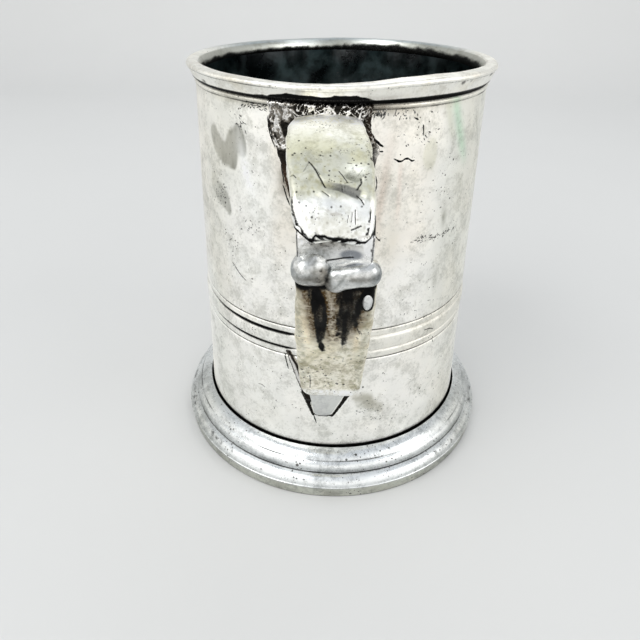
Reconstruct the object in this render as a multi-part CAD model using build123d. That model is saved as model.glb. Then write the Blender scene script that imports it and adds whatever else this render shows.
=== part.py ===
"""A lidless pewter pint mug, built from its separate castings and the solder that joins them.

Units are millimetres. The origin is the centre of the ring that the mug stands on, +Z is up,
and the handle points towards -Y. Places on the handle are given as reach, the distance from the
mug's axis towards -Y, and height above the table, with across, towards +X, where it matters.
"""
import os
from math import atan2, cos, pi, radians, sin

from build123d import *

# Driving dimensions
HEIGHT = 120.0              # table to brim
DRUM_TOP_R = 40.2           # outside radius of the drum under the lip
DRUM_LOW_R = 44.8           # outside radius of the drum at the foot's upper edge
LIP_UNDER_Z = 116.1         # underside of the lip ring
FOOT_TOP_Z = 13.5           # where the drum goes into the foot
WALL = 1.7                  # drum wall
LIP_R = 42.3                # widest radius of the lip ring
MOUTH_R = 39.3              # radius of the mouth, where a drinker's lip meets the rim
FOOT_R = 54.3               # widest radius of the foot
FOOT_EDGE_Z = 4.3           # height of the foot's upright edge

# Drum, lip and base
DRUM_FOOT_Z = 9.0           # lower end of the drum, on the foot's ledge
DRUM_END_Z = 117.6          # upper end of the drum, inside the lip ring
BASE_THICK = 1.8            # base plate
LEDGE_R = 41.2              # inner edge of the foot's ledge
LEDGE_THICK = 1.8
SOLDER_LEG = 1.5            # leg of the fillets that hold the base plate
FILLET_HOLLOW = 0.38        # how near the fillets' faces come to their corner, as a share of the leg
REED_LINES = (56.0, 53.7, 48.9, 46.4)   # heights of the four incised lines
REED_DEPTH = 0.35
REED_HALF = 0.32            # half width of an incised line
REED_RISE = 0.3             # how far the middle reed stands out
THREAD_Z = 114.9            # the fine raised thread under the lip
THREAD_HALF = 0.45
THREAD_RISE = 0.35

# Handle
SHELL = 1.5                 # wall of the hollow handle castings
CORNER = 1.6                # rounding of the castings' long edges
LEAST_CORNER = 0.35         # rounding left inside their hollows
SEAT_GAP = 0.12             # solder gap round the neck's tenons
# Stations of each casting's outer face: across, reach, height, front-to-back depth, width.
# The handle was set on leaning, so its root lies to the left of its lower end.
UPPER_STATIONS = (
    (-2.8, 36.5, 112.9, 12.4, 14.4),
    (-2.7, 46.0, 113.0, 10.8, 16.2),
    (-2.1, 55.0, 111.5, 8.8, 17.4),
    (-1.1, 63.0, 107.2, 7.4, 17.2),
    (-0.6, 68.4, 101.8, 6.8, 16.6),
    (-0.3, 71.2, 96.9, 6.6, 15.6),
)
LOWER_STATIONS = (
    (0.3, 69.6, 87.2, 6.8, 17.4),
    (0.4, 67.2, 79.0, 7.0, 17.6),
    (0.1, 62.3, 69.5, 6.8, 18.2),
    (-0.1, 55.7, 58.8, 6.3, 18.6),
    (-0.2, 50.2, 47.8, 5.8, 18.4),
    (-0.3, 47.6, 39.8, 5.4, 17.4),
    (-0.3, 46.9, 33.0, 5.2, 16.6),
)
ARM_END_Z = 36.6            # flat lower end of the lower casting
HOLLOW_STATIONS = 5         # how many stations of the lower casting its hollow runs through
NECK_WIDTH = 15.0
NECK_DEPTH = 4.4
NECK_RECESS = 2.2           # how far the neck's face lies behind the castings' faces
TENON = 3.0                 # how far the neck reaches into each casting
TENON_TAPER = 0.7           # how much the tenon narrows on each side within a casting's hollow

# Tail tongue, under the handle's lower end
TONGUE_TIP_Z = 26.6
TONGUE_TOP_W = 13.0
TONGUE_TIP_W = 4.6
TONGUE_TOP_PROUD = 2.9
TONGUE_TIP_PROUD = 0.9
TONGUE_AT = -0.6            # how far across its middle lies

# Repair beads: centre (across, reach, height) and half sizes
BEAD_LEFT = ((-5.2, 68.6, 89.2), (3.8, 3.7, 3.7))
BEAD_RIGHT = ((3.4, 68.8, 88.4), (5.9, 3.5, 3.4))

# Oval plug of the vent hole, in the lower casting's right shoulder
PLUG_TALL = 4.6
PLUG_WIDE = 3.0
PLUG_LENGTH = 2.4
PLUG_AT = (7.9, 67.9, 81.4)  # middle of its outer face: across, reach, height
PLUG_TURN = 48.0            # degrees between its axis and straight out

# Solder left on the drum round the handle's two ends
ROOT_PAD = 0.9              # thickness on the drum
PAD_CORNER = 3.5
UPPER_PAD = ((-14.0, 98.6), (8.6, 114.2))   # lower left and upper right corners seen from the front
LOWER_PAD = ((-11.4, 29.5), (10.2, 51.0))

SLOPE = (DRUM_LOW_R - DRUM_TOP_R) / (LIP_UNDER_Z - FOOT_TOP_Z)


def drum_r(z):
    """Outside radius of the drum at height z."""
    return DRUM_TOP_R + SLOPE * (LIP_UNDER_Z - z)


def inner_r(z):
    """Inside radius of the drum at height z."""
    return drum_r(z) - WALL


def turned(*edges):
    """The solid that a closed outline in radius and height makes when it is turned about the axis."""
    wire = Wire(edges)
    return revolve(Face(wire), Axis.Z)


def rz(r, z):
    return Vector(r, 0, z)


def chain(points):
    """Straight edges through points, in order."""
    return [Line(a, b).edge() for a, b in zip(points, points[1:])]


def cone_body(extra, low=-5.0, high=HEIGHT + 5.0):
    """A solid cone of the drum's taper, larger than its outside by extra."""
    profile = Polyline(
        rz(0, low), rz(drum_r(low) + extra, low), rz(drum_r(high) + extra, high), rz(0, high), close=True
    )
    return revolve(make_face(profile), Axis.Z)


def drum():
    """The tapered wall: four incised lines, a raised reed between the middle two, and a thread at the top."""
    edges = []
    here = rz(drum_r(DRUM_FOOT_Z), DRUM_FOOT_Z)
    for z in reversed(REED_LINES):
        low, high = z - REED_HALF, z + REED_HALF
        start = rz(drum_r(low), low)
        if z == REED_LINES[1]:
            middle = (here.Z + low) / 2
            edges.append(ThreePointArc(here, rz(drum_r(middle) + REED_RISE, middle), start).edge())
        else:
            edges.append(Line(here, start).edge())
        edges.append(ThreePointArc(start, rz(drum_r(z) - REED_DEPTH, z), rz(drum_r(high), high)).edge())
        here = rz(drum_r(high), high)
    low, high = THREAD_Z - THREAD_HALF, THREAD_Z + THREAD_HALF
    thread_low, thread_high = rz(drum_r(low), low), rz(drum_r(high), high)
    edges.append(Line(here, thread_low).edge())
    edges.append(ThreePointArc(thread_low, rz(drum_r(THREAD_Z) + THREAD_RISE, THREAD_Z), thread_high).edge())
    rest = [
        thread_high,
        rz(drum_r(DRUM_END_Z), DRUM_END_Z),
        rz(inner_r(DRUM_END_Z), DRUM_END_Z),
        rz(inner_r(DRUM_FOOT_Z), DRUM_FOOT_Z),
        rz(drum_r(DRUM_FOOT_Z), DRUM_FOOT_Z),
    ]
    return turned(*edges, *chain(rest))


def lip_ring():
    """The flared ring soldered over the drum's upper edge: a hollow skirt under a rounded roll."""
    under = rz(drum_r(LIP_UNDER_Z), LIP_UNDER_Z)
    skirt = rz(LIP_R - 1.35, LIP_UNDER_Z)
    skirt_waist = rz(LIP_R - 1.05, LIP_UNDER_Z + 1.1)
    quirk = rz(LIP_R - 0.6, HEIGHT - 1.85)
    roll = rz(LIP_R, HEIGHT - 1.0)
    brow = rz(LIP_R - 0.75, HEIGHT - 0.1)
    top = rz(LIP_R - 1.3, HEIGHT)
    mouth = rz(MOUTH_R + 0.3, HEIGHT - 0.1)
    throat = rz(MOUTH_R - 0.5, HEIGHT - 0.9)
    edges = [
        Line(under, skirt).edge(),
        ThreePointArc(skirt, skirt_waist, quirk).edge(),
        ThreePointArc(quirk, roll, brow).edge(),
        Line(brow, top).edge(),
        Line(top, mouth).edge(),
        ThreePointArc(mouth, rz(MOUTH_R - 0.25, HEIGHT - 0.35), throat).edge(),
    ]
    back = [
        throat,
        rz(inner_r(DRUM_END_Z), DRUM_END_Z),
        rz(drum_r(DRUM_END_Z), DRUM_END_Z),
        under,
    ]
    return turned(*edges, *chain(back))


def foot_ring():
    """The moulded foot: a sloping shoulder, a round, a groove and a wide round over an upright edge."""
    top_edge = rz(drum_r(FOOT_TOP_Z) + 0.9, FOOT_TOP_Z)
    shoulder_end = rz(49.4, 11.4)
    step = rz(49.7, 11.2)
    round_end = rz(51.15, 8.1)
    groove = rz(50.85, 7.65)
    wide_start = rz(51.25, 7.3)
    edge_top = rz(FOOT_R, FOOT_EDGE_Z)
    edge_low = rz(FOOT_R - 0.4, 0.5)
    edges = [
        Line(rz(drum_r(FOOT_TOP_Z), FOOT_TOP_Z), top_edge).edge(),
        ThreePointArc(top_edge, rz(47.85, 12.7), shoulder_end).edge(),
        Line(shoulder_end, step).edge(),
        ThreePointArc(step, rz(50.85, 9.95), round_end).edge(),
        Line(round_end, groove).edge(),
        Line(groove, wide_start).edge(),
        ThreePointArc(wide_start, rz(53.2, 6.15), edge_top).edge(),
    ]
    rest = [
        edge_top,
        edge_low,
        rz(FOOT_R - 0.9, 0.0),
        rz(51.4, 0.0),
        rz(51.2, 2.4),
        rz(50.0, 4.9),
        rz(48.0, 6.5),
        rz(46.6, DRUM_FOOT_Z - LEDGE_THICK),
        rz(LEDGE_R, DRUM_FOOT_Z - LEDGE_THICK),
        rz(LEDGE_R, DRUM_FOOT_Z),
        rz(drum_r(DRUM_FOOT_Z), DRUM_FOOT_Z),
        rz(drum_r(FOOT_TOP_Z), FOOT_TOP_Z),
    ]
    return turned(*edges, *chain(rest))


def base_plate():
    """The mug's bottom: a disc that lies on the foot's ledge, inside the drum."""
    low, high = DRUM_FOOT_Z, DRUM_FOOT_Z + BASE_THICK
    outline = Polyline(rz(0, low), rz(inner_r(low), low), rz(inner_r(high), high), rz(0, high), close=True)
    return revolve(make_face(outline), Axis.Z)


def fillet(corner, up, along):
    """A hollow-faced bead of solder in a corner, between a point up one face and one along the other."""
    slack = FILLET_HOLLOW * SOLDER_LEG
    towards = (along - corner).normalized() + (up - corner).normalized()
    return turned(
        Line(along, corner).edge(),
        Line(corner, up).edge(),
        ThreePointArc(up, corner + towards * slack, along).edge(),
    )


def inner_fillet():
    """Solder in the corner between the base plate and the wall, inside the mug."""
    z = DRUM_FOOT_Z + BASE_THICK
    return fillet(
        rz(inner_r(z), z),
        rz(inner_r(z + SOLDER_LEG), z + SOLDER_LEG),
        rz(inner_r(z) - SOLDER_LEG, z),
    )


def under_fillet():
    """Solder between the base plate's underside and the foot's ledge."""
    z = DRUM_FOOT_Z
    return fillet(rz(LEDGE_R, z), rz(LEDGE_R, z - SOLDER_LEG), rz(LEDGE_R - SOLDER_LEG, z))


def headings(stations):
    """The direction of travel along the outer face at each station, as (reach, height) angles."""
    count = len(stations)
    found = []
    for i in range(count):
        a, b = stations[max(i - 1, 0)], stations[min(i + 1, count - 1)]
        found.append(atan2(b[2] - a[2], b[1] - a[1]))
    return found


def casting(stations, inset=0.0):
    """A bar through the stations: rounded rectangles square to the outer face, each inset all round."""
    faces = []
    for (across, reach, height, depth, width), heading in zip(stations, headings(stations)):
        out_reach, out_height = -sin(heading), cos(heading)
        middle = (across, -(reach - out_reach * depth / 2), height - out_height * depth / 2)
        along = (0, -cos(heading), sin(heading))
        plane = Plane(origin=middle, x_dir=(1, 0, 0), z_dir=along)
        w, d = width - 2 * inset, depth - 2 * inset
        faces.append(plane * RectangleRounded(w, d, max(CORNER - inset, LEAST_CORNER)))
    return loft(faces)


def upper_handle():
    """The upper casting, hollow, from the drum to the break."""
    return casting(UPPER_STATIONS) - casting(UPPER_STATIONS, SHELL) - cone_body(0)


def lower_handle():
    """The lower casting, hollow, from the repair down to its flat end on the drum."""
    below = Pos(0, -FOOT_R, ARM_END_Z / 2) * Box(FOOT_R, FOOT_R, ARM_END_Z)
    hollow = casting(LOWER_STATIONS[:HOLLOW_STATIONS], SHELL)
    return casting(LOWER_STATIONS) - hollow - cone_body(0) - below - vent_bar()


def at_reach(stations, index, along, inward):
    """A point near a station: along the face from it, and inward from the face."""
    reach, height = stations[index][1:3]
    heading = headings(stations)[index]
    return (
        reach + cos(heading) * along + sin(heading) * inward,
        height + sin(heading) * along - cos(heading) * inward,
    )


def side_prism(points, width):
    """A (reach, height) outline extruded to a width across the handle."""
    outline = Polyline(*[Vector(0, -reach, height) for reach, height in points], close=True)
    return extrude(make_face(outline), amount=width / 2, dir=(1, 0, 0), both=True)


def neck():
    """The narrow throat between the castings, with a tenon in each."""
    last = len(UPPER_STATIONS) - 1
    face = NECK_RECESS
    back = NECK_RECESS + NECK_DEPTH
    throat = side_prism(
        (
            at_reach(UPPER_STATIONS, last, 0, face),
            at_reach(LOWER_STATIONS, 0, 0, face),
            at_reach(LOWER_STATIONS, 0, 0, back),
            at_reach(UPPER_STATIONS, last, 0, back),
        ),
        NECK_WIDTH,
    )
    inset = SHELL + SEAT_GAP
    width = min(UPPER_STATIONS[last][4], LOWER_STATIONS[0][4]) - 2 * (inset + TENON_TAPER)
    outer = inset + 0.5
    inner = min(UPPER_STATIONS[last][3], LOWER_STATIONS[0][3]) - outer
    tenon = side_prism(
        (
            at_reach(UPPER_STATIONS, last, -TENON, outer),
            at_reach(UPPER_STATIONS, last, 0, outer),
            at_reach(LOWER_STATIONS, 0, 0, outer),
            at_reach(LOWER_STATIONS, 0, TENON, outer),
            at_reach(LOWER_STATIONS, 0, TENON, inner - 0.3),
            at_reach(LOWER_STATIONS, 0, 0, inner),
            at_reach(UPPER_STATIONS, last, 0, inner),
            at_reach(UPPER_STATIONS, last, -TENON, inner - 0.3),
        ),
        width,
    )
    return throat + tenon


def bead(centre, sizes):
    """One run of repair solder before it is cut to its neighbours."""
    across, reach, height = centre
    return Pos(across, -reach, height) * scale(Sphere(1.0), by=sizes)


def vent_bar():
    """The plug that fills the vent hole, square to the casting, from its hollow to just outside its shoulder."""
    across, reach, height = PLUG_AT
    turn = radians(PLUG_TURN)
    heading = headings(LOWER_STATIONS)[1]
    along = (0, -cos(heading), sin(heading))
    out = (sin(turn), sin(heading) * cos(turn), cos(heading) * cos(turn))
    plane = Plane(origin=(across, -reach, height), x_dir=along, z_dir=out)
    return extrude(plane * Ellipse(PLUG_TALL / 2, PLUG_WIDE / 2), amount=-PLUG_LENGTH)


def tongue():
    """The tapered tail under the handle's lower end, soldered flat on the drum."""
    z0, z1 = TONGUE_TIP_Z, ARM_END_Z
    behind = drum_r(z1) - TONGUE_TOP_PROUD
    side = side_prism(
        (
            (behind, z0),
            (drum_r(z0) + TONGUE_TIP_PROUD, z0),
            (drum_r(z1) + TONGUE_TOP_PROUD, z1),
            (behind, z1),
        ),
        2 * TONGUE_TOP_W,
    )
    front = Polyline(
        Vector(TONGUE_AT - TONGUE_TIP_W / 2, 0, z0),
        Vector(TONGUE_AT + TONGUE_TIP_W / 2, 0, z0),
        Vector(TONGUE_AT + TONGUE_TOP_W / 2, 0, z1),
        Vector(TONGUE_AT - TONGUE_TOP_W / 2, 0, z1),
        close=True,
    )
    return (side & extrude(make_face(front), amount=FOOT_R, dir=(0, -1, 0))) - cone_body(0)


def root_pad(corners):
    """A thin pad of solder on the drum, between two corners seen from the front."""
    (x0, z0), (x1, z1) = corners
    centre = Vector((x0 + x1) / 2, 0, (z0 + z1) / 2)
    plane = Plane(origin=centre, x_dir=(1, 0, 0), z_dir=(0, -1, 0))
    prism = extrude(plane * RectangleRounded(x1 - x0, z1 - z0, PAD_CORNER), amount=FOOT_R)
    return (prism & cone_body(ROOT_PAD)) - cone_body(0)


def build():
    """Every piece, by node name."""
    upper, lower, neck_piece, tail = upper_handle(), lower_handle(), neck(), tongue()
    upper_body = casting(UPPER_STATIONS)
    lower_body = casting(LOWER_STATIONS)
    wall = drum()
    left = bead(*BEAD_LEFT)
    right = bead(*BEAD_RIGHT)
    return {
        "drum": wall,
        "lip_ring": lip_ring(),
        "foot_ring": foot_ring(),
        "base_plate": base_plate(),
        "base_solder_inner": inner_fillet(),
        "base_solder_under": under_fillet(),
        "upper_handle": upper,
        "handle_neck": neck_piece,
        "lower_handle": lower,
        "tail_tongue": tail,
        "vent_plug": vent_bar(),
        "repair_bead_left": left - upper_body - lower_body - neck_piece,
        "repair_bead_right": right - left - upper_body - lower_body - neck_piece,
        "upper_root_solder": root_pad(UPPER_PAD) - upper_body,
        "lower_root_solder": root_pad(LOWER_PAD) - lower_body - tail - wall,
    }


def capacity_ml():
    """What the mug holds to the brim."""
    low = DRUM_FOOT_Z + BASE_THICK
    a, b = inner_r(low), inner_r(HEIGHT)
    return pi * (HEIGHT - low) * (a * a + a * b + b * b) / 3000


def main():
    os.makedirs("parts", exist_ok=True)
    for name, shape in build().items():
        export_step(shape, f"parts/{name}.step")
    print(f"capacity to the brim {capacity_ml():.0f} ml")


if __name__ == "__main__":
    main()
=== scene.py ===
"""The looks of a worn pewter mug with a mended handle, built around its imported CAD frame.

Blender units are metres. The mug stands on the origin, +Z is up and the handle points towards -Y.
The shapes below are worked out in millimetres and turned into metres by MM where a mesh is made.
An azimuth is in degrees round the axis: 0 is the handle's side, 90 is towards +X.
"""
from itertools import product
from math import atan2, cos, pi, radians, sin

import bpy
import numpy as np
from mathutils import Matrix, Vector
from mathutils.bvhtree import BVHTree


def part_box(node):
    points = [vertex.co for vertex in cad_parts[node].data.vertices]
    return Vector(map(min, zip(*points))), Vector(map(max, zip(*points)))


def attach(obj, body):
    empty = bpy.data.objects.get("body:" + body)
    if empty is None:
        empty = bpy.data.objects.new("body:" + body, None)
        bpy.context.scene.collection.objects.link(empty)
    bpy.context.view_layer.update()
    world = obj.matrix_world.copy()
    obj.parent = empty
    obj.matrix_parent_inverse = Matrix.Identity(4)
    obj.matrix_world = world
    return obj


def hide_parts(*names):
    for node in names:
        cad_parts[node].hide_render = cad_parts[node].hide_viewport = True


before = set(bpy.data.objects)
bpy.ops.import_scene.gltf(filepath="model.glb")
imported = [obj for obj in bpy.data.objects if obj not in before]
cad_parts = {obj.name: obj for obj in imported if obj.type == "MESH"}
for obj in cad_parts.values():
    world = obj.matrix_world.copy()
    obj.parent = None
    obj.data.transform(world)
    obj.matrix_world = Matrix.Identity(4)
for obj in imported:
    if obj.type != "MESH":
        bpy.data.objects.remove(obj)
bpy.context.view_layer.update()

MM = 0.001
COLUMNS = 400               # columns round each turned piece
DENSE_SHARE = 0.66          # share of them on the front, where the photo shows the wear
DENSE_HALF = 75.0           # degrees each side of the handle that count as the front
MID_R = 42.0                # the drum's radius about half-way up, for noise and for lengths round it
PER_DEGREE = 0.75           # millimetres round the drum in one degree

# Camera
CAMERA_AT = (0, -167.28, 142.69)
CAMERA_PITCH = radians(33.646)
CAMERA_YAW = radians(-1.66)
CAMERA_ROLL = radians(0.8)
CAMERA_LENS = 30.75
SENSOR = 36.0


# ---- What the frame says

def cad_points(node):
    """A CAD node's vertices in millimetres."""
    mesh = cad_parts[node].data
    flat = np.zeros(len(mesh.vertices) * 3)
    mesh.vertices.foreach_get("co", flat)
    return flat.reshape(-1, 3) / MM


def radii(points):
    return np.hypot(points[:, 0], points[:, 1])


def box_mm(node):
    """A CAD node's lowest and highest corners in millimetres."""
    return [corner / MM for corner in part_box(node)]


class Drum:
    """The drum's taper, wall and turned lines, measured on the CAD node."""

    points = cad_points("drum")
    low, high = points[:, 2].min(), points[:, 2].max()
    low_r = radii(points[points[:, 2] < low + 0.01]).max()
    high_r = radii(points[points[:, 2] > high - 0.01]).max()
    wall = low_r - radii(points[points[:, 2] < low + 0.01]).min()
    slope = (low_r - high_r) / (high - low)


def drum_r(z):
    """The drum's outside radius at height z."""
    return Drum.low_r - Drum.slope * (z - Drum.low)


def turned_lines(sign, depth):
    """Heights where the drum's outside leaves its taper by more than depth, inwards (-1) or outwards (1)."""
    p = Drum.points
    off = (radii(p) - drum_r(p[:, 2])) * sign
    outside = radii(p) > drum_r(p[:, 2]) - Drum.wall / 2
    heights = np.sort(p[(off > depth) & outside, 2])
    groups = np.split(heights, np.where(np.diff(heights) > 1.0)[0] + 1)
    return [float(g.mean()) for g in groups if len(g)]


GROOVES = turned_lines(-1, 0.2)
REED_Z, THREAD_Z = turned_lines(1, 0.15)
LIP_LOW, LIP_HIGH = box_mm("lip_ring")
FOOT_HIGH = box_mm("foot_ring")[1]
BASE_LOW, BASE_HIGH = box_mm("base_plate")
LIP_R, BRIM_Z, UNDER_LIP_Z = LIP_HIGH.x, LIP_HIGH.z, LIP_LOW.z
LIP_POINTS = cad_points("lip_ring")
MOUTH_R = radii(LIP_POINTS[LIP_POINTS[:, 2] > BRIM_Z - 0.15]).min() - 0.3
FOOT_R, FOOT_TOP_Z = FOOT_HIGH.x, FOOT_HIGH.z


def tree(node):
    """A CAD node's surface for ray casts, in metres."""
    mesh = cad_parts[node].data
    return BVHTree.FromPolygons([v.co for v in mesh.vertices], [p.vertices for p in mesh.polygons])


def hits(surface, start, way, reach=0.2):
    """Every place along a ray where it crosses a surface, in millimetres, nearest first."""
    start, way = Vector(start) * MM, Vector(way).normalized()
    found, travelled = [], 0.0
    while travelled < reach:
        place = surface.ray_cast(start + way * travelled, way, reach - travelled)[0]
        if place is None:
            break
        found.append(place / MM)
        travelled = (place - start).dot(way) + 2e-5
    return found


# ---- Noise and small shaping functions

def hashed(cell, seed):
    """A repeatable number from -1 to 1 for each lattice cell."""
    n = cell[..., 0] * 73856093 ^ cell[..., 1] * 19349663 ^ cell[..., 2] * 83492791 ^ seed * 26544357
    n = n & 0x7FFFFFFF
    n = (n ^ (n >> 13)) * 1274126177 & 0x7FFFFFFF
    n = (n ^ (n >> 15)) * 1103515245 & 0x7FFFFFFF
    return n / 0x3FFFFFFF - 1.0


def noise(points, size, seed=0):
    """Smooth noise from -1 to 1 whose features are about size across."""
    p = np.asarray(points, float) / size + 500.0
    cell = np.floor(p).astype(np.int64)
    t = p - cell
    t = t * t * (3 - 2 * t)
    total = np.zeros(p.shape[:-1])
    for corner in product((0, 1), repeat=3):
        weight = np.prod(np.where(corner, t, 1 - t), axis=-1)
        total += weight * hashed(cell + np.array(corner), seed)
    return total


def fractal(points, size, octaves=3, seed=0):
    """Noise with finer and finer layers, from about -1 to 1."""
    total = sum(noise(points, size / 2 ** k, seed + 7 * k) / 2 ** k for k in range(octaves))
    return total / (2 - 0.5 ** (octaves - 1))


def clouds(points, size, octaves, seed):
    """The same from 0 to 1."""
    return 0.5 + 0.5 * fractal(points, size, octaves, seed)


def step(value, low, high):
    """0 below low, 1 above high and smooth between. low may be the larger one."""
    t = np.clip((value - low) / (high - low), 0, 1)
    return t * t * (3 - 2 * t)


def between(value, low, full, high, fade):
    """0 at low, 1 from full to fade, and 0 again at high."""
    return step(value, low, full) * step(value, high, fade)


def bump(value, middle, spread):
    """A smooth hill of height 1."""
    return np.exp(-(((value - middle) / spread) ** 2))


def to_line(a, b, route):
    """Distance from points (a, b) to a route of straight runs, and the share of the route passed there."""
    best = np.full(np.shape(a), 1e9)
    along = np.zeros(np.shape(a))
    runs = list(zip(route, route[1:]))
    for i, ((a0, b0), (a1, b1)) in enumerate(runs):
        da, db = a1 - a0, b1 - b0
        t = np.clip(((a - a0) * da + (b - b0) * db) / (da * da + db * db), 0, 1)
        away = np.hypot(a - a0 - t * da, b - b0 - t * db)
        nearer = away < best
        best = np.where(nearer, away, best)
        along = np.where(nearer, (i + t) / len(runs), along)
    return best, along


def polar(azimuth, radius, z):
    """Points from azimuth in degrees, radius and height."""
    a = np.radians(azimuth)
    return np.stack(np.broadcast_arrays(radius * np.sin(a), -radius * np.cos(a), z), -1)


def arc(start, via, end, count):
    """Points on the arc through three points of an outline, without the last one."""
    (ax, ay), (bx, by), (cx, cy) = start, via, end
    d = 2 * (ax * (by - cy) + bx * (cy - ay) + cx * (ay - by))
    a2, b2, c2 = ax * ax + ay * ay, bx * bx + by * by, cx * cx + cy * cy
    x = (a2 * (by - cy) + b2 * (cy - ay) + c2 * (ay - by)) / d
    y = (a2 * (cx - bx) + b2 * (ax - cx) + c2 * (bx - ax)) / d
    a0, a1, a2 = (atan2(q - y, p - x) for p, q in (start, via, end))
    sweep = (a2 - a0) % (2 * pi)
    if (a1 - a0) % (2 * pi) > sweep:
        sweep -= 2 * pi
    r = np.hypot(ax - x, ay - y)
    return [(x + r * cos(a0 + sweep * i / count), y + r * sin(a0 + sweep * i / count)) for i in range(count)]


def run(start, end, count):
    """Points on a straight run of an outline, without the last one."""
    return [tuple(np.array(start) + (np.array(end) - np.array(start)) * i / count) for i in range(count)]


def traced(start, parts):
    """An outline from start through parts: a count of points, for an arc a place on it, and the end."""
    points = []
    for count, *rest in parts:
        points += arc(start, *rest, count) if len(rest) == 2 else run(start, *rest, count)
        start = rest[-1]
    return points


def column_azimuths(count=COLUMNS):
    """Azimuths of a turned piece's columns, closer together on the handle's side."""
    dense = int(count * DENSE_SHARE)
    front = np.linspace(-DENSE_HALF, DENSE_HALF, dense, endpoint=False)
    back = np.linspace(DENSE_HALF, 360 - DENSE_HALF, count - dense, endpoint=False)
    return np.concatenate([front, back])


def around(azimuth):
    """The same azimuth from -180 to 180."""
    return (azimuth + 180) % 360 - 180


# ---- Meshes

def make_piece(name, points, faces, material, node, marks, flat_angle=40.0):
    """A smooth-shaded mesh piece that rides on the mug and stands for a CAD node."""
    mesh = bpy.data.meshes.new(name)
    mesh.from_pydata((np.asarray(points) * MM).tolist(), [], faces)
    mesh.validate()
    for key, values in marks.items():
        values = np.asarray(values, np.float32)
        kind = "FLOAT_COLOR" if values.ndim == 2 else "FLOAT"
        layer = mesh.attributes.new(key, kind, "POINT")
        layer.data.foreach_set("color" if kind == "FLOAT_COLOR" else "value", values.ravel())
    mesh.materials.append(material)
    mesh.polygons.foreach_set("use_smooth", [True] * len(mesh.polygons))
    mesh.set_sharp_from_angle(angle=radians(flat_angle))
    piece = bpy.data.objects.new(name, mesh)
    bpy.context.scene.collection.objects.link(piece)
    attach(piece, "root")
    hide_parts(node)
    return piece


def grid_faces(rows, columns, closed_rows=False, closed_columns=False):
    """Quads over a grid of points numbered row by row."""
    r = np.arange(rows if closed_rows else rows - 1)
    c = np.arange(columns if closed_columns else columns - 1)
    r, c = np.meshgrid(r, c, indexing="ij")
    r1, c1 = (r + 1) % rows, (c + 1) % columns
    quads = np.stack([r * columns + c, r * columns + c1, r1 * columns + c1, r1 * columns + c], -1)
    return quads.reshape(-1, 4).tolist()


def closed_faces(rows, columns):
    """Faces over rings joined in order, with a fan at each end round two more points."""
    first, base = rows * columns, (rows - 1) * columns
    faces = grid_faces(rows, columns, False, True)
    pairs = [(i, (i + 1) % columns) for i in range(columns)]
    faces += [[first, following, i] for i, following in pairs]
    faces += [[first + 1, base + i, base + following] for i, following in pairs]
    return faces


def turned(outline):
    """Azimuth, radius and height grids of a closed outline turned about the axis, and its faces."""
    azimuth = column_azimuths()
    r, z = (np.array(v)[:, None] * np.ones(len(azimuth)) for v in zip(*outline))
    a = np.ones(len(outline))[:, None] * azimuth
    return around(a), r, z, grid_faces(len(outline), len(azimuth), True, True)


def turned_piece(name, a, r, z, faces, material, node, marks):
    """A piece from the grids that turned() gives, after they are dented and scratched."""
    return make_piece(name, polar(a, r, z).reshape(-1, 3), faces, material, node, marks)


class WearAndLight:
    """What a mesh carries at its points: black for dirt and painted shade, brown stain, a tint that also
    carries painted highlights, reflections and shade, and added roughness.
    """

    def __init__(self, like):
        shape = np.shape(like)
        self.grime_and_shade, self.stain, self.dull = np.zeros(shape), np.zeros(shape), np.zeros(shape)
        self.tint = np.ones((*shape, 4))

    def dirt_and_shade(self, amount):
        """Black by amount, for dirt and for painted shade, where there isn't more of it already."""
        self.grime_and_shade = np.maximum(self.grime_and_shade, amount)

    def colour(self, amount, colour):
        """Moves the tint towards a colour by amount, over what was there before."""
        amount = np.clip(np.asarray(amount), 0, 1)[..., None]
        self.tint = self.tint * (1 - amount) + np.array([*colour, 1.0]) * amount

    def marks(self, extra=0):
        """Every value in point order, with the last one again for each of the extra points."""
        done = {}
        for key, columns in (("grime_and_shade", ()), ("stain", ()), ("tint", (4,)), ("dull", ())):
            flat = getattr(self, key).reshape(-1, *columns)
            done[key] = np.concatenate([flat, np.repeat(flat[-1:], extra, axis=0)])
        return done


# ---- Materials

class Value:
    """A node's output, which adds, subtracts and multiplies like a number."""

    def __init__(self, finish, socket):
        self.finish, self.socket = finish, socket

    def __add__(self, other):
        return self.finish.maths("ADD", self, other)

    def __sub__(self, other):
        return self.finish.maths("SUBTRACT", self, other)

    def __mul__(self, other):
        return self.finish.maths("MULTIPLY", self, other)


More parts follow.
